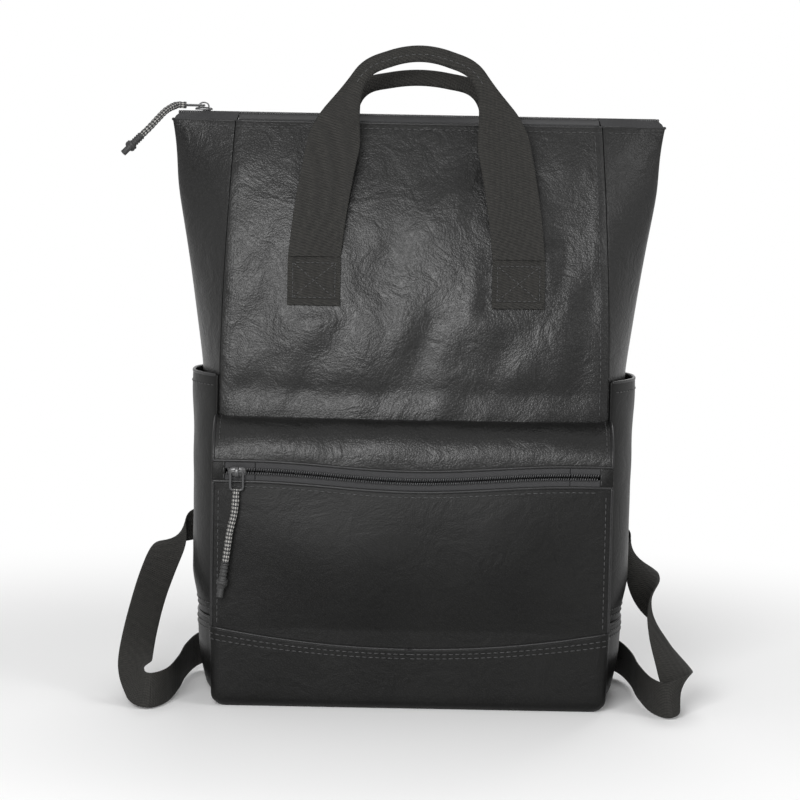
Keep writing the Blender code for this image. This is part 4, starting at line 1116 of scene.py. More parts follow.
@dataclass
class FrontPocket:
    """Hood, front, sides, end tabs, welts and stitching of the zipped front pocket."""

    finish: Finishes
    form: BagForm = FORM
    piping_radius: float = 0.0013
    hood_grid: tuple[int, int] = (150, 40)
    hood_seams: tuple[int, int, int] = (5, 3, 4)
    hood_cap: float = 0.0018
    hood_fill: float = 0.5
    tab_reach: float = 0.0008

    def face(self, u: Array, v: Array) -> Array:
        """Pocket front from the boot's rim up to the sagging lower welt.

        Args:
            u: Share of the width.
            v: Share of the height.

        Returns:
            Points on the front.
        """
        f = self.form
        x = (2.0 * u - 1.0) * f.pocket_half
        low, high = f.boot_rim(x) + f.gap, f.lower_welt_z - f.sag(x)
        z = low + (high - low) * v
        return np.stack([x, f.pocket_face(x, z), z], -1)

    def hood(self, u: Array, v: Array) -> Array:
        """Padded hood: a quarter ellipse from the upper welt back to the panel, softly lumped.

        Args:
            u: Share of the width.
            v: Share of the quarter turn.

        Returns:
            Points on the hood.
        """
        f = self.form
        x = (2.0 * u - 1.0) * f.pocket_half
        crease = f.upper_welt_z + f.hood_rise
        angle = v * np.pi / 2
        depth = f.front_face(x, np.full_like(x, crease)) - f.gap - f.pocket_y
        fat = np.sin(np.pi * np.clip(v, 0, 1)) * (1.0 - np.abs(2 * u - 1) ** 8)
        puff = fat * (0.0012 + 0.0010 * ripple(x, v * 0.04, 0.06, 17))
        y = f.pocket_y + depth * (1.0 - np.cos(angle)) - puff * np.cos(angle)
        z = f.upper_welt_z + f.hood_rise * np.sin(angle) + puff * np.sin(angle) - f.sag(x) * (1.0 - v) ** 2
        return np.stack([x, y, z], -1)

    def wall(self, u: Array, v: Array) -> Array:
        """Narrow right side of the pocket, under the hood's curve.

        Args:
            u: Share of the way from front to back.
            v: Share of the height.

        Returns:
            Points on the side.
        """
        f = self.form
        near, far = f.pocket_y + f.leather + 2 * f.gap, f.front_y - f.gap
        angle = np.arccos(np.clip(1.0 - u, -1.0, 1.0))
        low = f.boot_z + f.gap
        high = f.upper_welt_z + (f.hood_rise - f.leather - 2 * f.gap) * np.sin(angle)
        x = f.pocket_half - 0.0012 * np.sin(np.pi * v) * np.sin(np.pi * np.clip(u, 0, 1))
        return np.stack([x, near + (far - near) * u, low + (high - low) * v], -1)

    def build(self) -> None:
        """Make and dress the pocket's pieces."""
        f, m = self.form, self.finish
        seat(patch("pocket_front_leather", self.face, 120, 80, wall=f.leather), "bag", "black_leather",
             m.smooth, "pocket_front")
        self.padded_hood()
        rows = [course(self.face, 0.966, 300, 0.045, 0.955), course(self.hood, 0.10, 300, 0.045, 0.955)]
        edges = []
        for word, surface, v in (("lower", self.face, 0.998), ("upper", self.hood, 0.004)):
            line = lifted(course(surface, v, 200, 0.001, 0.999), -f.leather * 0.25)
            edges.append(tube(f"pocket_{word}_welt", line, self.piping_radius, 10))
        for side in Side:
            wall = patch(f"pocket_{side.word}_side_leather", on_side(self.wall, side), 30, 50, wall=f.leather)
            seat(wall, "bag", "black_leather", m.smooth, f"pocket_{side.word}_side")
            for name, surface in (("front", self.face), ("hood", self.hood)):
                line = lifted(column(surface, side.share(0.996), 90, 0.004, 0.996), -f.leather * 0.3)
                edges.append(tube(f"pocket_{name}_{side.word}_piping", line, self.piping_radius))
                rows.append(column(surface, side.share(0.982), 120, 0.03, 0.95))
            self.end_tab(side, rows)
        for piece in edges:
            seat(piece, "bag", "black_leather", m.edge)
        seat(stitches("pocket_stitching", rows), "bag", "black_leather", m.thread)

    def padded_hood(self) -> None:
        """Make the hood and puff it up between its seams, which hold its outer rows and columns."""
        cols, rows = self.hood_grid
        low, high, ends = self.hood_seams
        hood = patch("pocket_hood_leather", self.hood, cols, rows, wall=self.form.leather)
        row, col = np.divmod(np.arange(len(hood.data.vertices)), cols)
        pillow(hood, (row < low) | (row >= rows - high) | (col < ends) | (col >= cols - ends), self.hood_cap)
        seat(hood, "bag", "black_leather", self.finish.leather, "pocket_hood")

    def end_tab(self, side: Side, rows: list[Row]) -> None:
        """Leather tab over the zip's end, which reaches a little further in than its solid.

        Args:
            side: Which end of the zip.
            rows: Rows of stitches, which grow by that of the tab.
        """
        f = self.form
        low, high = (np.array(corner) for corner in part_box(f"pocket_zip_{side.word}_tab"))
        inner = low if side is Side.RIGHT else high
        inner[0] -= side.value * self.tab_reach

        def tab(u: Array, v: Array) -> Array:
            """A plate that domes forward as the sine of u times the sine of v."""
            x, z = low[0] + (high[0] - low[0]) * u, low[2] + (high[2] - low[2]) * v
            dome = 0.0006 * np.sin(np.pi * np.clip(u, 0, 1)) * np.sin(np.pi * np.clip(v, 0, 1))
            return np.stack([x, np.full_like(x, f.pocket_y) - dome, z], -1)

        seat(patch(f"pocket_{side.word}_tab_leather", tab, 14, 18, wall=f.leather), "bag", "black_leather",
             self.finish.smooth, f"pocket_zip_{side.word}_tab")
        rows.append(column(tab, side.share(0.14), 30, 0.06, 0.94))


TOOTH_RINGS = np.array([[-0.5, 0.55, 0.55], [-0.38, 0.95, 0.95], [0.0, 1.0, 1.0], [0.38, 0.95, 0.95],
                        [0.5, 0.55, 0.55]])


@dataclass
class ZipRun:
    """One zip in its own frame: x along, y across, z out."""

    name: str
    finish: Finishes
    matrix: Matrix
    half_mouth: float
    teeth_z: float
    lip: float
    end: float
    lips: tuple[tuple[str, str, str], tuple[str, str, str]]
    sag: Callable[[Array], Array]
    pitch: float = 0.0016
    slit: float = 0.0012
    row: float = 0.0020
    lift: float = 0.0009
    tape: float = 0.0008
    lean: float = 0.25
    half_tooth: float = 0.00125
    parting: float = 0.0004
    stop: float = 0.001

    def turned(self, rows: Array) -> Array:
        """Directions of the zip's frame in the bag's."""
        return rows @ np.array(self.matrix.to_3x3()).T

    def world(self, points: Array) -> Array:
        """Points of the zip's frame in the bag's."""
        return self.turned(points) + np.array(self.matrix.translation)

    def teeth(self, name: str, start: float, stop: float, flank: int) -> bpy.types.Object:
        """A row of rounded teeth, each a short capsule that leans a little along the zip.

        Args:
            name: Name of the piece.
            start: Where the row starts along the zip.
            stop: Where it ends.
            flank: -1 or 1, the side of the slit.

        Returns:
            The new object.
        """
        count = int((stop - start) / self.pitch)
        x = start + (stop - start) * (np.arange(count) + 0.5 + 0.25 * flank) / count
        reach = self.row + self.slit * 0.38
        middle = flank * (self.slit * 0.2 + reach / 2)
        at = np.stack([x, middle - self.sag(x), np.full_like(x, self.teeth_z)], 1)
        along = unit(np.array([self.lean * flank, flank, 0.0]))
        across = unit(np.array([flank, -self.lean * flank, 0.0])) * flank
        axes = self.turned(np.stack([along, across, np.cross(along, across)]))
        rings = TOOTH_RINGS * np.array([reach, self.pitch * 0.42, self.half_tooth])
        return copies(name, self.world(at), np.repeat(axes[None], count, 0), rings, 8)

    def strip(self, flank: int, start: float, stop: float) -> Surface:
        """Tape from the mouth's edge to the teeth.

        Args:
            flank: -1 or 1, the side of the slit.
            start: Where the tape starts along the zip.
            stop: Where it ends.

        Returns:
            The tape's surface.
        """
        edge = np.array([flank * (self.half_mouth - 0.0006), self.lift])
        root = np.array([flank * (self.slit / 2 + self.row * 0.6), self.teeth_z])
        first, second = (edge, root) if flank < 0 else (root, edge)

        def surface(u: Array, v: Array) -> Array:
            """Straight across, and following the sag."""
            x = start + (stop - start) * u
            cross = first + (second - first) * v[..., None]
            return self.world(np.stack([x, cross[..., 0] - self.sag(x), cross[..., 1]], -1))

        return surface

    def sewn(self, side: Side, stop: float) -> list[float]:
        """Where a sewn-down end starts and stops along the zip, the lower value first."""
        return sorted((side.value * (self.lip + self.parting), side.value * stop))

    def build(self) -> None:
        """Make both lips with their teeth, and the teeth on the sewn-down ends."""
        m = self.finish
        for flank, word, (body, tape, teeth) in zip((-1, 1), ("front", "rear"), self.lips):
            strip = patch(f"{body}_tape", self.strip(flank, -self.lip, self.lip), 120, 8, wall=self.tape)
            seat(strip, body, "zip_tape", m.tape, tape)
            seat(self.teeth(f"{body}_teeth", -self.lip, self.lip, flank), body, "zip_teeth", m.teeth, teeth)
            for side in Side:
                name = f"{self.name}_zip_{side.word}_{word}_teeth"
                row = self.teeth(name, *self.sewn(side, self.end - self.stop), flank)
                seat(row, "bag", "zip_teeth", m.teeth)

    def end_tapes(self) -> None:
        """Straight tape on both flanks of the sewn-down ends, in place of their solids."""
        for side in Side:
            node = f"{self.name}_zip_{side.word}_end"
            for flank, word, nodes in ((-1, "lower", (node,)), (1, "upper", ())):
                surface = self.strip(flank, *self.sewn(side, self.end))
                seat(patch(f"{node}_{word}_tape", surface, 24, 8, wall=self.tape), "bag", "zip_tape",
                     self.finish.tape, *nodes)


@dataclass
class WingTape:
    """The zip's tape over the wings, from the chain's end down to the gusset's top edge."""

    finish: Finishes
    form: BagForm = FORM
    wall: float = 0.0007
    chain_end: float = 0.1772
    chain_half: float = 0.0022
    chain_rise: float = 0.0062
    tip_drop: float = 0.0042

    def slip(self, flank: int) -> Surface:
        """Tape on the right wing between the chain's flank and the leather edge.

        Args:
            flank: -1 for the front slip and 1 for the rear one.

        Returns:
            The slip's surface.
        """
        f = self.form

        def surface(u: Array, v: Array) -> Array:
            """Straight lines from the gusset's rim to the chain, which drops towards the wing's tip."""
            t = u * 0.495 if flank < 0 else 1.0 - u * 0.495
            rim = f.gusset(t, np.full_like(t, f.top_z)) + np.array([-0.0008, flank * 0.0006, -0.0004])
            top = f.top_z + self.chain_rise - self.tip_drop * smooth(u, 0.82, 1.0)
            x = np.minimum(rim[..., 0] - 0.0020, self.chain_end)
            chain = np.stack([x, np.full_like(x, f.zip_y + flank * self.chain_half), top], -1)
            low, high = (rim, chain) if flank < 0 else (chain, rim)
            return low + (high - low) * v[..., None]

        return surface

    def build(self) -> None:
        """Make two slips of tape on each wing."""
        for side in Side:
            for flank, word, nodes in ((-1, "front", (f"main_zip_{side.word}_end",)), (1, "rear", ())):
                slip = on_side(self.slip(flank), side)
                seat(patch(f"{side.word}_wing_{word}_tape", slip, 30, 6, wall=self.wall), "bag", "zip_tape",
                     self.finish.tape, *nodes)


@dataclass
class Slider:
    """A zip slider: two shield-shaped plates, a neck and an arched bridge."""

    name: str
    zip_run: ZipRun
    x: float
    along: bool
    body: str
    node: str
    finish: Finishes
    half_length: float = 0.0064
    half_width: float = 0.0041
    plate_height: float = 0.0016
    plate_dome: float = 0.35
    plate_up: float = 0.0025
    under_down: float = 0.0026
    under_scale: tuple[float, float, float] = (1.0, 0.6, 0.9)
    bridge_half: float = 0.0036
    bridge_foot: float = 0.0031
    bridge_rise: float = 0.0040
    bridge_bar: tuple[float, float] = (0.0014, 0.00055)
    neck_run: tuple[float, float] = (-0.001, 0.005)
    neck_bar: tuple[float, float] = (0.0020, 0.0001)

    @property
    def base(self) -> Array:
        """Middle of the teeth under the slider, in the zip's frame."""
        return np.array([self.x, 0.0, self.zip_run.teeth_z])

    def plate(self) -> Array:
        """Shield plate: a superellipse that narrows towards one end, over rings from its rim to its middle.

        Returns:
            The plate's grid, round its own middle.
        """
        angle = np.linspace(0, 2 * np.pi, 36, endpoint=False)
        c, s = np.cos(angle), np.sin(angle)
        x = self.half_length * np.sign(c) * np.abs(c) ** 0.7
        y = self.half_width * np.sign(s) * np.abs(s) ** 0.7 * (0.88 + 0.12 * c)
        top = 0.5 + self.plate_dome
        rings = ((0.97, -0.5), (1.0, -0.25), (1.0, 0.15), (0.93, 0.5), (0.6, top), (0.2, top))
        return np.stack([np.stack([x * scale, y * scale, np.full_like(x, up * self.plate_height)], 1)
                         for scale, up in rings])

    def band(self, word: str, path: Array, across: Array, half_width: float, half_height: float,
             sides: int) -> bpy.types.Object:
        """A flat bar swept along a path of the zip's frame.

        Args:
            word: Last part of its name.
            path: Its middle line, from the slider's base.
            across: Its width direction.
            half_width: Half its width.
            half_height: Half its thickness.
            sides: Points round its section.

        Returns:
            The new object.
        """
        zr, count = self.zip_run, len(path)
        grid, _ = swept(zr.world(path + self.base), zr.turned(np.tile(across, (count, 1))),
                        np.full(count, half_width), np.full(count, half_height), sides, 0.7)
        return skin(f"{self.name}_{word}", grid, closed=True, capped=True)

    def build(self) -> None:
        """Make the plates, the bridge and the neck on the slider's body."""
        plate = self.plate()
        upper = plate + self.base + np.array([0, 0, self.plate_up])
        under = plate * np.array(self.under_scale) + self.base - np.array([0, 0, self.under_down])
        pieces = [skin(f"{self.name}_{word}", self.zip_run.world(grid), closed=True, capped=True)
                  for word, grid in (("plate", upper), ("under", under))]
        a = span(21, 0, np.pi)
        arch = np.stack([-self.bridge_half * np.cos(a), 0 * a,
                         self.bridge_foot + self.bridge_rise * np.abs(np.sin(a)) ** 0.6], 1)
        across = np.array([0.0, 1.0, 0.0])
        if not self.along:
            arch, across = arch[:, [1, 0, 2]], across[[1, 0, 2]]
        pieces.append(self.band("bridge", arch, across, *self.bridge_bar, 12))
        neck = np.stack([span(8, *self.neck_run), np.zeros(8), np.zeros(8)], 1)
        pieces.append(self.band("neck", neck, np.array([0.0, 0.0, 1.0]), *self.neck_bar, 8))
        for piece, nodes in zip(pieces, ((self.node,), (), (), ())):
            seat(piece, self.body, "slider_metal", self.finish.metal, *nodes)


MAIN_CORD = ((-0.1722, 0.0120, 0.4289), (-0.1770, 0.0105, 0.4287), (-0.1835, 0.0015, 0.4250),
             (-0.1890, -0.0060, 0.4190), (-0.1945, -0.0115, 0.4125), (-0.2000, -0.0142, 0.4068))
POCKET_CORD = ((-0.1252, -0.0711, 0.1563), (-0.1262, -0.0722, 0.1420), (-0.1292, -0.0738, 0.1280),
               (-0.1308, -0.0746, 0.1160), (-0.1322, -0.0749, 0.1060))
KNOT_TURNS = ((0.53, 0.35), (0.62, -0.35))


@dataclass
class Puller:
    """Braided cord and its sleeved, knotted end, hanging from the slider's bail."""

    name: str
    body: str
    route: tuple[tuple[float, float, float], ...]
    tail: float
    finish: Finishes
    radius: float = 0.0026
    hold: float = 0.0022
    strand_step: float = 0.00375
    turn_radius: float = 0.0029
    turn_thick: float = 0.0012

    def sleeve_radius(self, share: Array) -> Array:
        """Radius along the sleeve: a ribbed grip, a swelling at the knot and a thinner tail."""
        ribs = 0.0003 * np.sin(share * 60) * (share < 0.45)
        return 0.0027 + ribs + 0.0012 * np.exp(-((share - 0.58) / 0.075) ** 2) - 0.0004 * (share > 0.72)

    def knot_turn(self, number: int, middle: Array, direction: Array, lean: float) -> bpy.types.Object:
        """One turn of the knot: a leaning torus round the sleeve.

        Args:
            number: Which turn, for its name.
            middle: Its middle.
            direction: The sleeve's direction.
            lean: How far it leans, -1 to 1.

        Returns:
            The new object.
        """
        a = np.linspace(0, 2 * np.pi, 40, endpoint=False)
        b = np.linspace(0, 2 * np.pi, 10, endpoint=False)
        side = unit(np.cross(direction, np.array([0.3, 1.0, 0.2])))
        off = np.cross(direction, side)
        ring = (middle + (side * np.cos(a)[:, None] + off * np.sin(a)[:, None]) * self.turn_radius
                + direction * (np.sin(a) * lean * self.radius)[:, None])
        along = unit(np.roll(ring, -1, 0) - np.roll(ring, 1, 0))
        out = unit(ring - middle)
        up = np.cross(along, out)
        round_ring = out[:, None] * np.cos(b)[:, None] + up[:, None] * np.sin(b)[:, None]
        loop = ring[:, None] + round_ring * self.turn_thick
        return skin(f"{self.name}_knot_turn_{number}", np.vstack([loop, loop[:1]]), closed=True)

    def build(self) -> None:
        """Sweep the braid along the route and add the sleeve, the knot's turns and the tail."""
        m = self.finish
        path = spline(self.route, span(80))
        path = even(np.vstack([path[:1] + unit(path[:1] - path[1:2]) * self.hold, path]), 90)
        run = arc_length(path)
        swell = self.radius * (0.93 + 0.05 * np.sin(2 * np.pi * run / self.strand_step)
                               + 0.10 * np.exp(-((run - 0.010) / 0.003) ** 2))
        cord = tube(f"{self.name}_braid", path, swell, 16)
        end, direction = path[-1], unit(path[-1] - path[-2])
        line = end + direction * span(60, 0.0004, self.tail)[:, None]
        sleeve = tube(f"{self.name}_sleeve", line, self.sleeve_radius(span(60)), 16)
        turns = [self.knot_turn(number, end + direction * self.tail * place, direction, lean)
                 for number, (place, lean) in enumerate(KNOT_TURNS)]
        seat(cord, self.body, "cord_braid", m.braid, f"{self.name}_pull_cord")
        seat(sleeve, self.body, "cord_end", m.rubber, f"{self.name}_pull_knot")
        for turn in turns:
            seat(turn, self.body, "cord_end", m.rubber)
        tuple(path[0])
        [tuple(p) for p in path]


BOX_CROSS = (((0.1, 0.16), (0.9, 0.16)), ((0.9, 0.16), (0.9, 0.88)), ((0.9, 0.88), (0.1, 0.88)),
             ((0.1, 0.88), (0.1, 0.16)), ((0.1, 0.16), (0.9, 0.88)), ((0.1, 0.88), (0.9, 0.16)))


@dataclass
class Handle:
    """A ribbed webbing loop with a folded grip, and its two box-stitched ends."""

    name: str
    facing: int
    apex_z: float
    body: str
    finish: Finishes
    form: BagForm = FORM
    lean: float = 0.022
    width: float = 0.038
    grip: float = 0.012
    grip_swell: float = 0.0026
    webbing: float = 0.0022
    top_x: float = 0.0585
    patch_low: float = 0.288
    hinge_z: float = 0.322
    rib: float = 0.00024
    end_rib: float = 0.00022
    end_fold: float = 0.0012

    def panel_y(self, x: Array, z: Array) -> Array:
        """Face that the ends are sewn to."""
        return self.form.front_face(x, z) if self.facing < 0 else self.form.back_y(z) + 0 * x

    def route(self) -> list[tuple[float, float, float]]:
        """Middle line of the loop from the left end over the grip to the right end.

        Returns:
            The route's own points.
        """
        f, z = self.form, np.array(self.hinge_z)
        flat = f.crown(np.array(f.handle_x - self.width / 2), z) if self.facing < 0 else f.back_y(z)
        y = float(flat) + self.facing * (f.gap + self.webbing / 2)
        d, top, apex = self.facing * self.lean, f.top_z + 0.012, self.apex_z
        shoulder = self.top_x * 0.70
        right = [
            (f.handle_x, y, self.hinge_z + 2 * f.gap),
            (f.handle_x - 0.004, y - d * 0.02, self.hinge_z + 0.035),
            (self.top_x + 0.004, y - d * 0.30, self.hinge_z + 0.075),
            (self.top_x - 0.003, y - d * 0.58, top - 0.006),
            (shoulder, y - d * 0.80, top + (apex - top) * 0.62),
            (shoulder * 0.52, y - d + d * 0.05, apex - (apex - top) * 0.10),
        ]
        left = [(-a, b, c) for a, b, c in right]
        return [*left, (0.0, y - d, apex), *right[::-1]]

    def build(self) -> None:
        """Sweep the loop, which folds up at its grip, and sew its ends to the panel."""
        m, count = self.finish, 1000
        path = even(spline(self.route(), span(400)), count)
        share = span(count)
        inwards = np.minimum(share, 1 - share)
        side = unit(np.cross(np.gradient(path, axis=0), np.array([0.0, -1.0, 0.0])))
        level = np.where(share < 0.5, 1.0, -1.0)[:, None] * np.array([1.0, 0.0, 0.0])
        mix = smooth(inwards, 0.0, 0.06)[:, None]
        across = (level * (1 - mix) + side * mix) * -self.facing
        fold = smooth(inwards, 0.22, 0.37)
        half_width = (self.width + (self.grip - self.width) * fold) / 2
        grid, uv = swept(path, across, half_width, self.webbing / 2 + self.grip_swell * fold, 28, 0.62,
                         rib=self.rib, upright=False)
        seat(skin(f"{self.name}_handle_webbing", grid, closed=True, capped=True, uv=uv), self.body,
             "black_webbing", m.webbing, f"{self.name}_handle")
        seam = path[smooth(inwards, 0.30, 0.36) > 0.98] + np.array([0.0, 0.0, -0.0005])
        out = np.tile([0.0, float(self.facing), 0.0], (len(seam), 1))
        for end in Side:
            self.end(end)
        seat(stitches(f"{self.name}_grip_stitching", [(seam + out * 0.0036, out)]), self.body,
             "black_webbing", m.thread)

    def end(self, side: Side) -> None:
        """One sewn end: ribbed webbing on the panel, thicker at its folded lower edge.

        Args:
            side: Which end.
        """
        f, wall = self.form, self.webbing * 0.7

        def lower(u: Array, v: Array) -> Array:
            """The panel's face, raised by the webbing, its ribs and its folded edge."""
            turn = u if self.facing < 0 else 1.0 - u
            x = side.value * f.handle_x + (turn - 0.5) * self.width
            z = self.patch_low + (self.hinge_z + f.gap - self.patch_low) * v
            ribs = self.end_rib * np.sin(2 * np.pi * (z - self.patch_low) / RIB_PITCH)
            folded = self.end_fold * (1.0 - smooth(v, 0.10, 0.17)) * smooth(v, -0.02, 0.05)
            return np.stack([x, self.panel_y(x, z) + self.facing * (f.gap + wall + folded + ribs), z], -1)

        seat(patch(f"{self.name}_{side.word}_end_webbing", lower, 24, 120, wall=wall), "bag", "black_webbing",
             self.finish.webbing, f"{self.name}_handle_{side.word}_patch")
        out = np.tile([0.0, float(self.facing), 0.0], (60, 1))
        rows = [(lower(span(60, a[0], b[0]), span(60, a[1], b[1])), out) for a, b in BOX_CROSS]
        seat(stitches(f"{self.name}_{side.word}_end_stitching", rows, pitch=0.0036, length=0.0028), "bag",
             "black_webbing", self.finish.thread)


WEBBING_LOOPS = {
    Side.LEFT: (
        ((-0.1480, 0.0760, 0.1130), (0.10, -0.05, 0.99)),
        ((-0.1665, 0.0700, 0.1105), (0.45, 0.10, 0.88)),
        ((-0.1810, 0.0520, 0.0985), (0.78, 0.42, 0.46)),
        ((-0.1905, 0.0250, 0.0760), (0.74, 0.64, 0.20)),
        ((-0.1965, -0.0080, 0.0500), (0.72, 0.68, 0.14)),
        ((-0.1985, -0.0420, 0.0280), (0.55, 0.72, 0.42)),
        ((-0.1955, -0.0700, 0.0165), (0.18, 0.48, 0.86)),
        ((-0.1850, -0.0810, 0.0140), (0.00, 0.12, 0.99)),
        ((-0.1740, -0.0620, 0.0140), (0.00, 0.00, 1.00)),
        ((-0.1690, -0.0150, 0.0140), (0.00, 0.00, 1.00)),
        ((-0.1670, 0.0300, 0.0145), (0.00, 0.00, 1.00)),
        ((-0.1600, 0.0620, 0.0170), (0.00, 0.00, 1.00)),
        ((-0.1460, 0.0740, 0.0205), (0.00, 0.00, 1.00)),
    ),
    Side.RIGHT: (
        ((0.1480, 0.0760, 0.1090), (-0.10, -0.05, 0.99)),
        ((0.1655, 0.0690, 0.1020), (-0.42, 0.10, 0.90)),
        ((0.1740, 0.0500, 0.0860), (-0.50, 0.62, 0.60)),
        ((0.1790, 0.0220, 0.0640), (-0.16, 0.93, 0.30)),
        ((0.1850, -0.0100, 0.0440), (0.28, 0.95, 0.10)),
        ((0.1925, -0.0420, 0.0280), (0.42, 0.82, 0.38)),
        ((0.1945, -0.0700, 0.0175), (0.20, 0.50, 0.84)),
        ((0.1850, -0.0830, 0.0140), (0.00, 0.10, 0.99)),
        ((0.1745, -0.0640, 0.0140), (0.00, 0.00, 1.00)),
        ((0.1690, -0.0150, 0.0140), (0.00, 0.00, 1.00)),
        ((0.1670, 0.0300, 0.0145), (0.00, 0.00, 1.00)),
        ((0.1600, 0.0620, 0.0170), (0.00, 0.00, 1.00)),
        ((0.1460, 0.0740, 0.0205), (0.00, 0.00, 1.00)),
    ),
}


@dataclass
class Strap:
    """A padded shoulder strap with its tip loop, ladder lock, webbing and lower tab."""

    side: Side
    finish: Finishes
    form: BagForm = FORM
    width_top: float = 0.034
    width_low: float = 0.054
    pad: float = 0.008
    pad_square: float = 0.58
    pad_cap: float = 0.0014
    pad_fill: float = 0.7
    stitch_in: float = 0.0045
    binding: float = 0.0016
    top_z: float = 0.388
    webbing: float = 0.0014
    webbing_width: float = 0.025
    rib: float = 0.00016
    tip: float = 0.0147
    lock_bar: float = 0.004
    upper_slot: float = 0.0055
    lower_slot: float = 0.0065
    lock_thick: float = 0.0032
    tail: float = 0.046
    tab_x: float = 0.120
    tab_half: float = 0.020
    tab_low: float = 0.010
    tab_high: float = 0.050
    swing_z: float = 0.082
    still_z: float = 0.030

    @property
    def body(self) -> str:
        """Body that the strap moves with."""
        return f"{self.side.word}_strap"

    @property
    def over(self) -> float:
        """Distance of the webbing's middle from the lock's middle plane."""
        return self.lock_thick / 2 + self.webbing / 2 + 2 * self.form.gap

    def pad_route(self) -> Array:
        """Middle line of the pad from the yoke down over the back.

        Returns:
            The route's own points.
        """
        gap = 2 * self.form.gap + self.form.leather + self.pad / 2
        x, off, z = np.array((
            (0.0245, 0.0, self.top_z), (0.0250, 0.001, 0.345), (0.0275, 0.003, 0.300), (0.0380, 0.007, 0.255),
            (0.0580, 0.010, 0.210), (0.0800, 0.009, 0.175), (0.0970, 0.006, 0.152),
        )).T
        return np.stack([self.side.value * x, self.form.back_y(z) + gap + off, z], 1)

    def lock_frame(self) -> tuple[Array, Array]:
        """Origin and axes (across, down, off) of the ladder lock."""
        route = self.pad_route()
        down = unit(route[-1] - spline(route, np.array([0.96]))[0])
        across = unit(np.cross(down, np.array([0.0, 1.0, 0.0])))
        return route[-1] + down * (self.tip + self.form.gap), np.stack([across, down, np.cross(across, down)])

    def build(self) -> None:
        """Make and dress the pad, the loop at its tip, the lock, the webbing and the tab."""
        self.padded()
        origin, axes = self.lock_frame()
        self.tip_loop(origin, axes)
        dress(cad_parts[f"{self.side.word}_ladder_lock"], self.finish.plastic)
        self.lower(origin, axes)
        self.tab()

    def padded(self) -> None:
        """The pad, puffed up between its stitched and bound edges."""
        m, word, power, count, sides = self.finish, self.side.word, self.pad_square, 160, 44
        path = even(spline(self.pad_route(), span(300)), count)
        share = span(count)
        across = np.cross(np.gradient(path, axis=0), np.array([0.0, 1.0, 0.0]))
        half = (self.width_top + (self.width_low - self.width_top) * smooth(share, 0.2, 0.75)) / 2
        ends = np.minimum(1.0, np.sqrt(np.clip(np.minimum(share, 1 - share) / 0.02, 0.02, 1.0)))
        fat = self.pad / 2 * (0.55 + 0.45 * ends)
        grid, uv = swept(path, across, half, fat, sides, power)
        pad = skin(f"{word}_strap_pad", grid, closed=True, capped=True, uv=uv)
        row, col = np.divmod(np.arange(count * sides), sides)
        edge = np.abs(np.cos(2 * np.pi * (col + 0.5) / sides)) ** power
        pillow(pad, (edge > 0.80) | (row < 4) | (row > count - 5), self.pad_cap)
        seat(pad, self.body, "black_leather", m.leather, f"{word}_shoulder_strap")
        along = unit(np.gradient(path, axis=0))
        wide = squared(across, along)
        off = np.cross(along, wide)
        inner = half - self.stitch_in
        level = fat * (1 - (inner / half) ** (2 / power)) ** (power / 2)
        rows, bound = [], slice(2, -2)
        for flank, place in ((-1, "inner"), (1, "outer")):
            line = path + wide * (inner * flank)[:, None]
            rows += [((line + off * (level * face)[:, None])[3:-3], (off * face)[3:-3]) for face in (-1, 1)]
            rim = path[bound] + wide[bound] * (half[bound] * flank)[:, None] * 0.985
            seat(tube(f"{word}_strap_{place}_binding", rim, self.binding), self.body, "black_leather", m.edge)
        seat(stitches(f"{word}_strap_stitching", rows), self.body, "black_leather", m.thread)

    def web(self, name: str, line: Array, across: Array) -> bpy.types.Object:
        """Flat ribbed webbing along a line.

        Args:
            name: Name of the piece.
            line: Its middle line.
            across: Its width direction at each point.

        Returns:
            The new object.
        """
        count = len(line)
        grid, uv = swept(line, across, np.full(count, self.webbing_width / 2),
                         np.full(count, self.webbing / 2), 20, 0.45, rib=self.rib)
        return skin(name, grid, closed=True, capped=True, uv=uv)

    def tip_loop(self, origin: Array, axes: Array) -> None:
        """Webbing from the pad's tip round the lock's first bar and back.

        Args:
            origin: Origin of the lock's frame.
            axes: Its axes.
        """
        over, start, bend = self.over, -self.tip, self.lock_bar * 0.8
        front = [(start, over), (start / 2, over), (0.0, over), (bend, over * 0.96)]
        back = [(down, -off) for down, off in front[::-1]]
        flat = even(spline([*front, (self.lock_bar + self.upper_slot / 2, 0.0), *back], span(160)), 200)
        line = origin + flat[:, :1] * axes[1] + flat[:, 1:] * axes[2]
        piece = self.web(f"{self.side.word}_tip_loop_webbing", line, np.tile(axes[0], (200, 1)))
        seat(piece, self.body, "black_webbing", self.finish.webbing, f"{self.side.word}_tip_loop")

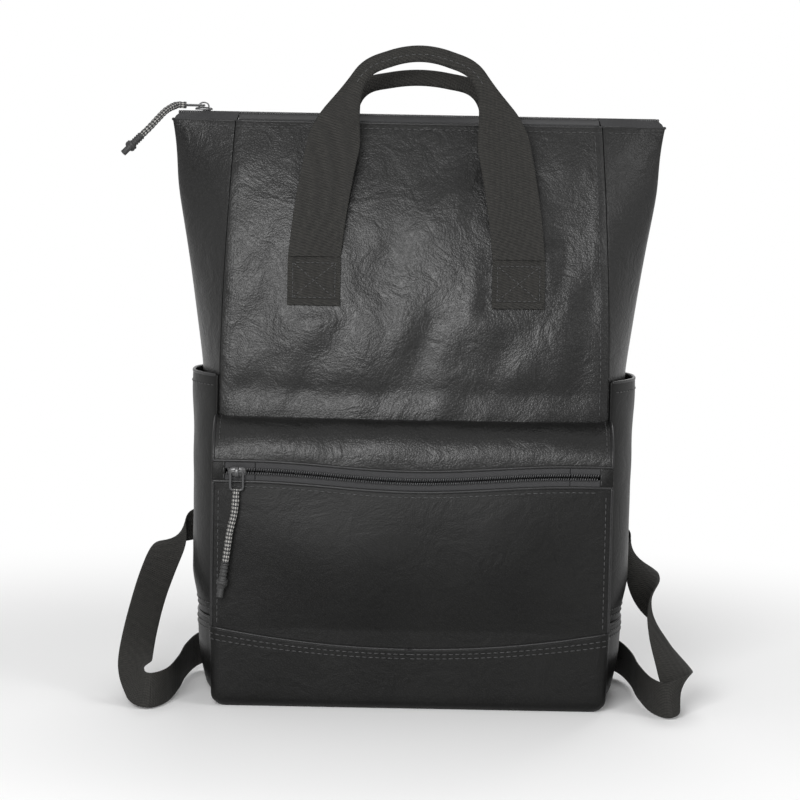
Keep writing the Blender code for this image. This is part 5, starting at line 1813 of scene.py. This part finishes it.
    def lower(self, origin: Array, axes: Array) -> None:
        """Webbing from its free tail round the lock's last bar, out in a loop and back to the tab.

        Args:
            origin: Origin of the lock's frame.
            axes: Its axes.
        """
        f, sign, word, over = self.form, self.side.value, self.side.word, self.over
        last = 2 * self.lock_bar + self.upper_slot + self.lower_slot
        turn, beyond, bend = last - self.lower_slot / 2, last + self.lock_bar, last + self.lock_bar * 0.2
        local = np.array([(beyond + self.tail, over * 1.6), (beyond + self.tail / 2, over * 1.4),
                          (beyond, over), (bend, over * 0.96), (turn, 0.0), (bend, -over * 0.96),
                          (beyond, -over), (beyond + 0.010, -over)])
        cross = axes[0] if axes[0][2] >= 0 else -axes[0]
        loop = np.array(WEBBING_LOOPS[self.side])
        tab_y = f.boot_back_y + f.leather + 2 * f.gap + self.webbing / 2
        tab_z = self.still_z - f.gap
        sewn = np.array(((sign * (self.tab_x + self.tab_half * 0.6), tab_y + f.gap, tab_z),
                         (sign * (self.tab_x - self.tab_half * 0.3), tab_y, tab_z)))
        centres = np.vstack([origin + local[:, :1] * axes[1] + local[:, 1:] * axes[2], loop[:, 0], sewn])
        crosses = np.vstack([np.tile(cross, (len(local), 1)), loop[:, 1], np.tile([0.0, 0.0, 1.0], (2, 1))])
        both = even(np.hstack([spline(centres, span(1200)), spline(crosses, span(1200))]), 1800)
        piece = self.web(f"{word}_lower_webbing", both[:, :3], both[:, 3:])
        dress(piece, self.finish.webbing)
        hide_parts(f"{word}_webbing")
        self.body
        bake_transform(piece)
        LOG.info("%s blends from %s to bag", piece.name, self.body)

    def tab(self) -> None:
        """Leather tab on the boot's back, cut off at one corner, with a stitched edge."""
        f, sign, word = self.form, self.side.value, self.side.word

        def cut(u: Array, v: Array) -> Array:
            """A flat plate whose inner edge slants outwards as it rises."""
            inner = -self.tab_half + self.tab_half * 0.6 * v
            x = sign * (self.tab_x + inner + (self.tab_half - inner) * (u if sign < 0 else 1.0 - u))
            z = self.tab_low + (self.tab_high - self.tab_low) * v
            return np.stack([x, np.full_like(x, f.boot_back_y + f.gap + f.leather), z], -1)

        seat(patch(f"{word}_tab_leather", cut, 16, 16, wall=f.leather), "bag", "black_leather",
             self.finish.smooth, f"{word}_strap_tab")
        seat(stitches(f"{word}_tab_stitching", border(cut, 0.08, 0.08, 40, 40)), "bag", "black_leather",
             self.finish.thread)


@dataclass
class Yoke:
    """Leather patch over the straps' upper ends."""

    finish: Finishes
    form: BagForm = FORM
    half: float = 0.043
    height: float = 0.022
    top_z: float = 0.388

    def surface(self, u: Array, v: Array) -> Array:
        """The back panel's face, raised by the patch."""
        f = self.form
        z = self.top_z + 6 * f.gap + self.height * v
        return np.stack([(1.0 - 2.0 * u) * self.half, f.back_y(z) + f.gap + f.leather, z], -1)

    def build(self) -> None:
        """Lay the patch on the back panel and stitch its border."""
        seat(patch("strap_yoke_leather", self.surface, 40, 16, wall=self.form.leather), "bag",
             "black_leather", self.finish.smooth, "strap_yoke")
        seat(stitches("strap_yoke_stitching", border(self.surface, 0.03, 0.12, 80, 40)), "bag",
             "black_leather", self.finish.thread)


@dataclass(frozen=True)
class Lamp:
    """A square soft lamp that faces the bag."""

    name: str
    place: tuple[float, float, float]
    size: float
    power: float

    def build(self) -> None:
        """Hang the lamp."""
        data = bpy.data.lights.new(self.name, "AREA")
        data.size, data.energy = self.size, self.power
        obj = bpy.data.objects.new(self.name, data)
        obj.location = self.place
        obj.rotation_euler = (Vector((0.0, 0.0, 0.22)) - obj.location).to_track_quat("-Z", "Y").to_euler()
        bpy.context.scene.collection.objects.link(obj)


LAMPS = (
    Lamp("key", (-0.42, -1.72, 0.70), 0.75, 33.0),
    Lamp("fill", (1.45, -1.05, 0.95), 0.6, 7.0),
    Lamp("back", (0.3, 1.5, 1.5), 1.2, 15.0),
)


@dataclass
class Studio:
    """Pale floor, soft light and the camera at the photograph's angle."""

    target: tuple[float, float, float] = (-0.010, -0.045, 0.2216)
    distance: float = 2.1
    elevation: float = 6.0
    roll: float = 1.1
    frame_width: float = 0.574
    sensor: float = 36.0
    ambient: float = 0.35
    near: float = 0.30
    far: float = 0.75
    floor_half: float = 6.0

    def camera(self) -> None:
        """A long lens from the front, slightly above, turned a little about its axis."""
        data = bpy.data.cameras.new("camera")
        data.sensor_width = self.sensor
        data.lens = self.sensor * self.distance / self.frame_width
        cam = bpy.data.objects.new("camera", data)
        bpy.context.scene.collection.objects.link(cam)
        tilt = math.radians(self.elevation)
        back = Vector((0.0, -math.cos(tilt), math.sin(tilt)))
        cam.location = Vector(self.target) + back * self.distance
        aim = back.to_track_quat("Z", "Y").to_matrix().to_4x4()
        cam.rotation_euler = (aim @ Matrix.Rotation(math.radians(self.roll), 4, "Z")).to_euler()
        bpy.context.scene.camera = cam

    @staticmethod
    def seen(n: Nodes) -> bpy.types.NodeSocket:
        """One where a ray comes from the camera, a reflection or glass."""
        rays = n.add("ShaderNodeLightPath").outputs
        both = n.math("MAXIMUM", rays["Is Camera Ray"], rays["Is Glossy Ray"])
        return n.math("MAXIMUM", both, rays["Is Transmission Ray"])

    def paint(self) -> bpy.types.Material:
        """White floor that keeps shadows near the bag and turns to plain white further off.

        Returns:
            The floor's material.
        """
        paint, n, shader = new_material("floor_white")
        shader.inputs["Base Color"].default_value = (0.95, 0.95, 0.95, 1.0)
        shader.inputs["Roughness"].default_value = 0.9
        shader.inputs["Specular IOR Level"].default_value = 0.1
        place = n.add("ShaderNodeTexCoord").outputs["Object"]
        far = n.add("ShaderNodeVectorMath", {0: place}, operation="LENGTH").outputs["Value"]
        share = n.add("ShaderNodeMapRange", {0: far, 1: self.near, 2: self.far, 3: 0.0, 4: 1.0},
                      interpolation_type="SMOOTHSTEP").outputs[0]
        white = n.add("ShaderNodeEmission", {"Strength": 1.0})
        mixed = n.add("ShaderNodeMixShader", {0: n.math("MULTIPLY", share, self.seen(n)),
                                              1: shader.outputs[0], 2: white.outputs[0]})
        n.tree.links.new(mixed.outputs[0], paint.node_tree.nodes["Material Output"].inputs["Surface"])
        return paint

    def build(self) -> None:
        """Set up the world, floor, lamps and camera."""
        scene = bpy.context.scene
        scene.view_settings.view_transform = "Standard"
        world = bpy.data.worlds.new("studio")
        world.use_nodes = True
        scene.world = world
        n = Nodes(world.node_tree)
        light = world.node_tree.nodes["Background"]
        light.inputs["Color"].default_value = (1.0, 1.0, 1.0, 1.0)
        strength = n.math("ADD", n.math("MULTIPLY", self.seen(n), 1.0 - self.ambient), self.ambient)
        n.tree.links.new(strength, light.inputs["Strength"])
        corner = np.array([(-1.0, -1.0, 0.0), (1.0, -1.0, 0.0), (1.0, 1.0, 0.0), (-1.0, 1.0, 0.0)])
        floor = new_piece("floor", corner * self.floor_half, [[0, 1, 2, 3]])
        dress(floor, self.paint())
        for lamp in LAMPS:
            lamp.build()
        self.camera()


def zips(finish: Finishes) -> tuple[ZipRun, ZipRun]:
    """The main zip along the top edge and the pocket's zip, which faces forward.

    Args:
        finish: The bag's finishes.

    Returns:
        The main zip and the pocket's zip.
    """
    f = FORM
    main_at = Matrix.Translation((0.0, f.zip_y, f.top_z))
    middle = (0.0, f.pocket_y + f.leather / 2, (f.lower_welt_z + f.upper_welt_z) / 2)
    pocket_at = Matrix.Translation(middle) @ Matrix.Rotation(math.pi / 2, 4, "X")
    main_lips = tuple((f"{word}_lip", f"{word}_zip_tape", f"{word}_zip_teeth") for word in ("front", "rear"))
    pocket_lips = tuple((f"pocket_{word}_lip", f"pocket_{word}_zip_tape", f"pocket_{word}_zip_teeth")
                        for word in ("lower", "upper"))
    return (
        ZipRun("main", finish, main_at, half_mouth=f.mouth / 2, teeth_z=0.005, lip=0.131, end=0.176,
               lips=main_lips, sag=np.zeros_like),
        ZipRun("pocket", finish, pocket_at, half_mouth=(f.upper_welt_z - f.lower_welt_z) / 2, teeth_z=0.0009,
               lip=0.112, end=0.1336, lips=pocket_lips, sag=f.sag),
    )


def inner_nodes(finish: Finishes) -> None:
    """Dress the carried-over solids inside the bag and the wire bails."""
    for name, material in (("lining", finish.lining), ("laptop_sleeve", finish.lining),
                           ("back_foam", finish.foam), ("base_board", finish.board),
                           ("main_pull_bail", finish.metal), ("pocket_pull_bail", finish.metal)):
        dress(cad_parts[name], material)
        LOG.info("%s keeps its solid", name)


def main() -> None:
    """Build every sub-assembly in order."""
    Studio().build()
    finish = Finishes()
    Puller("main", "main_puller", MAIN_CORD, tail=0.019, finish=finish).build()
    Puller("pocket", "pocket_puller", POCKET_CORD, tail=0.025, finish=finish).build()
    Body(finish).build()
    FrontPocket(finish).build()
    main_zip, pocket_zip = zips(finish)
    main_zip.build()
    pocket_zip.build()
    pocket_zip.end_tapes()
    WingTape(finish).build()
    Slider("main_slider", main_zip, x=-0.157, along=True, body="main_slider", node="main_zip_slider",
           finish=finish).build()
    Slider("pocket_slider", pocket_zip, x=-0.125, along=False, body="pocket_slider",
           node="pocket_zip_slider", finish=finish).build()
    Handle("front", facing=-1, apex_z=0.469, body="front_loop", finish=finish).build()
    Handle("rear", facing=1, apex_z=0.452, body="rear_loop", finish=finish).build()
    Yoke(finish).build()
    for side in Side:
        Strap(side, finish).build()
    inner_nodes(finish)


if __name__ == "__main__":
    main()
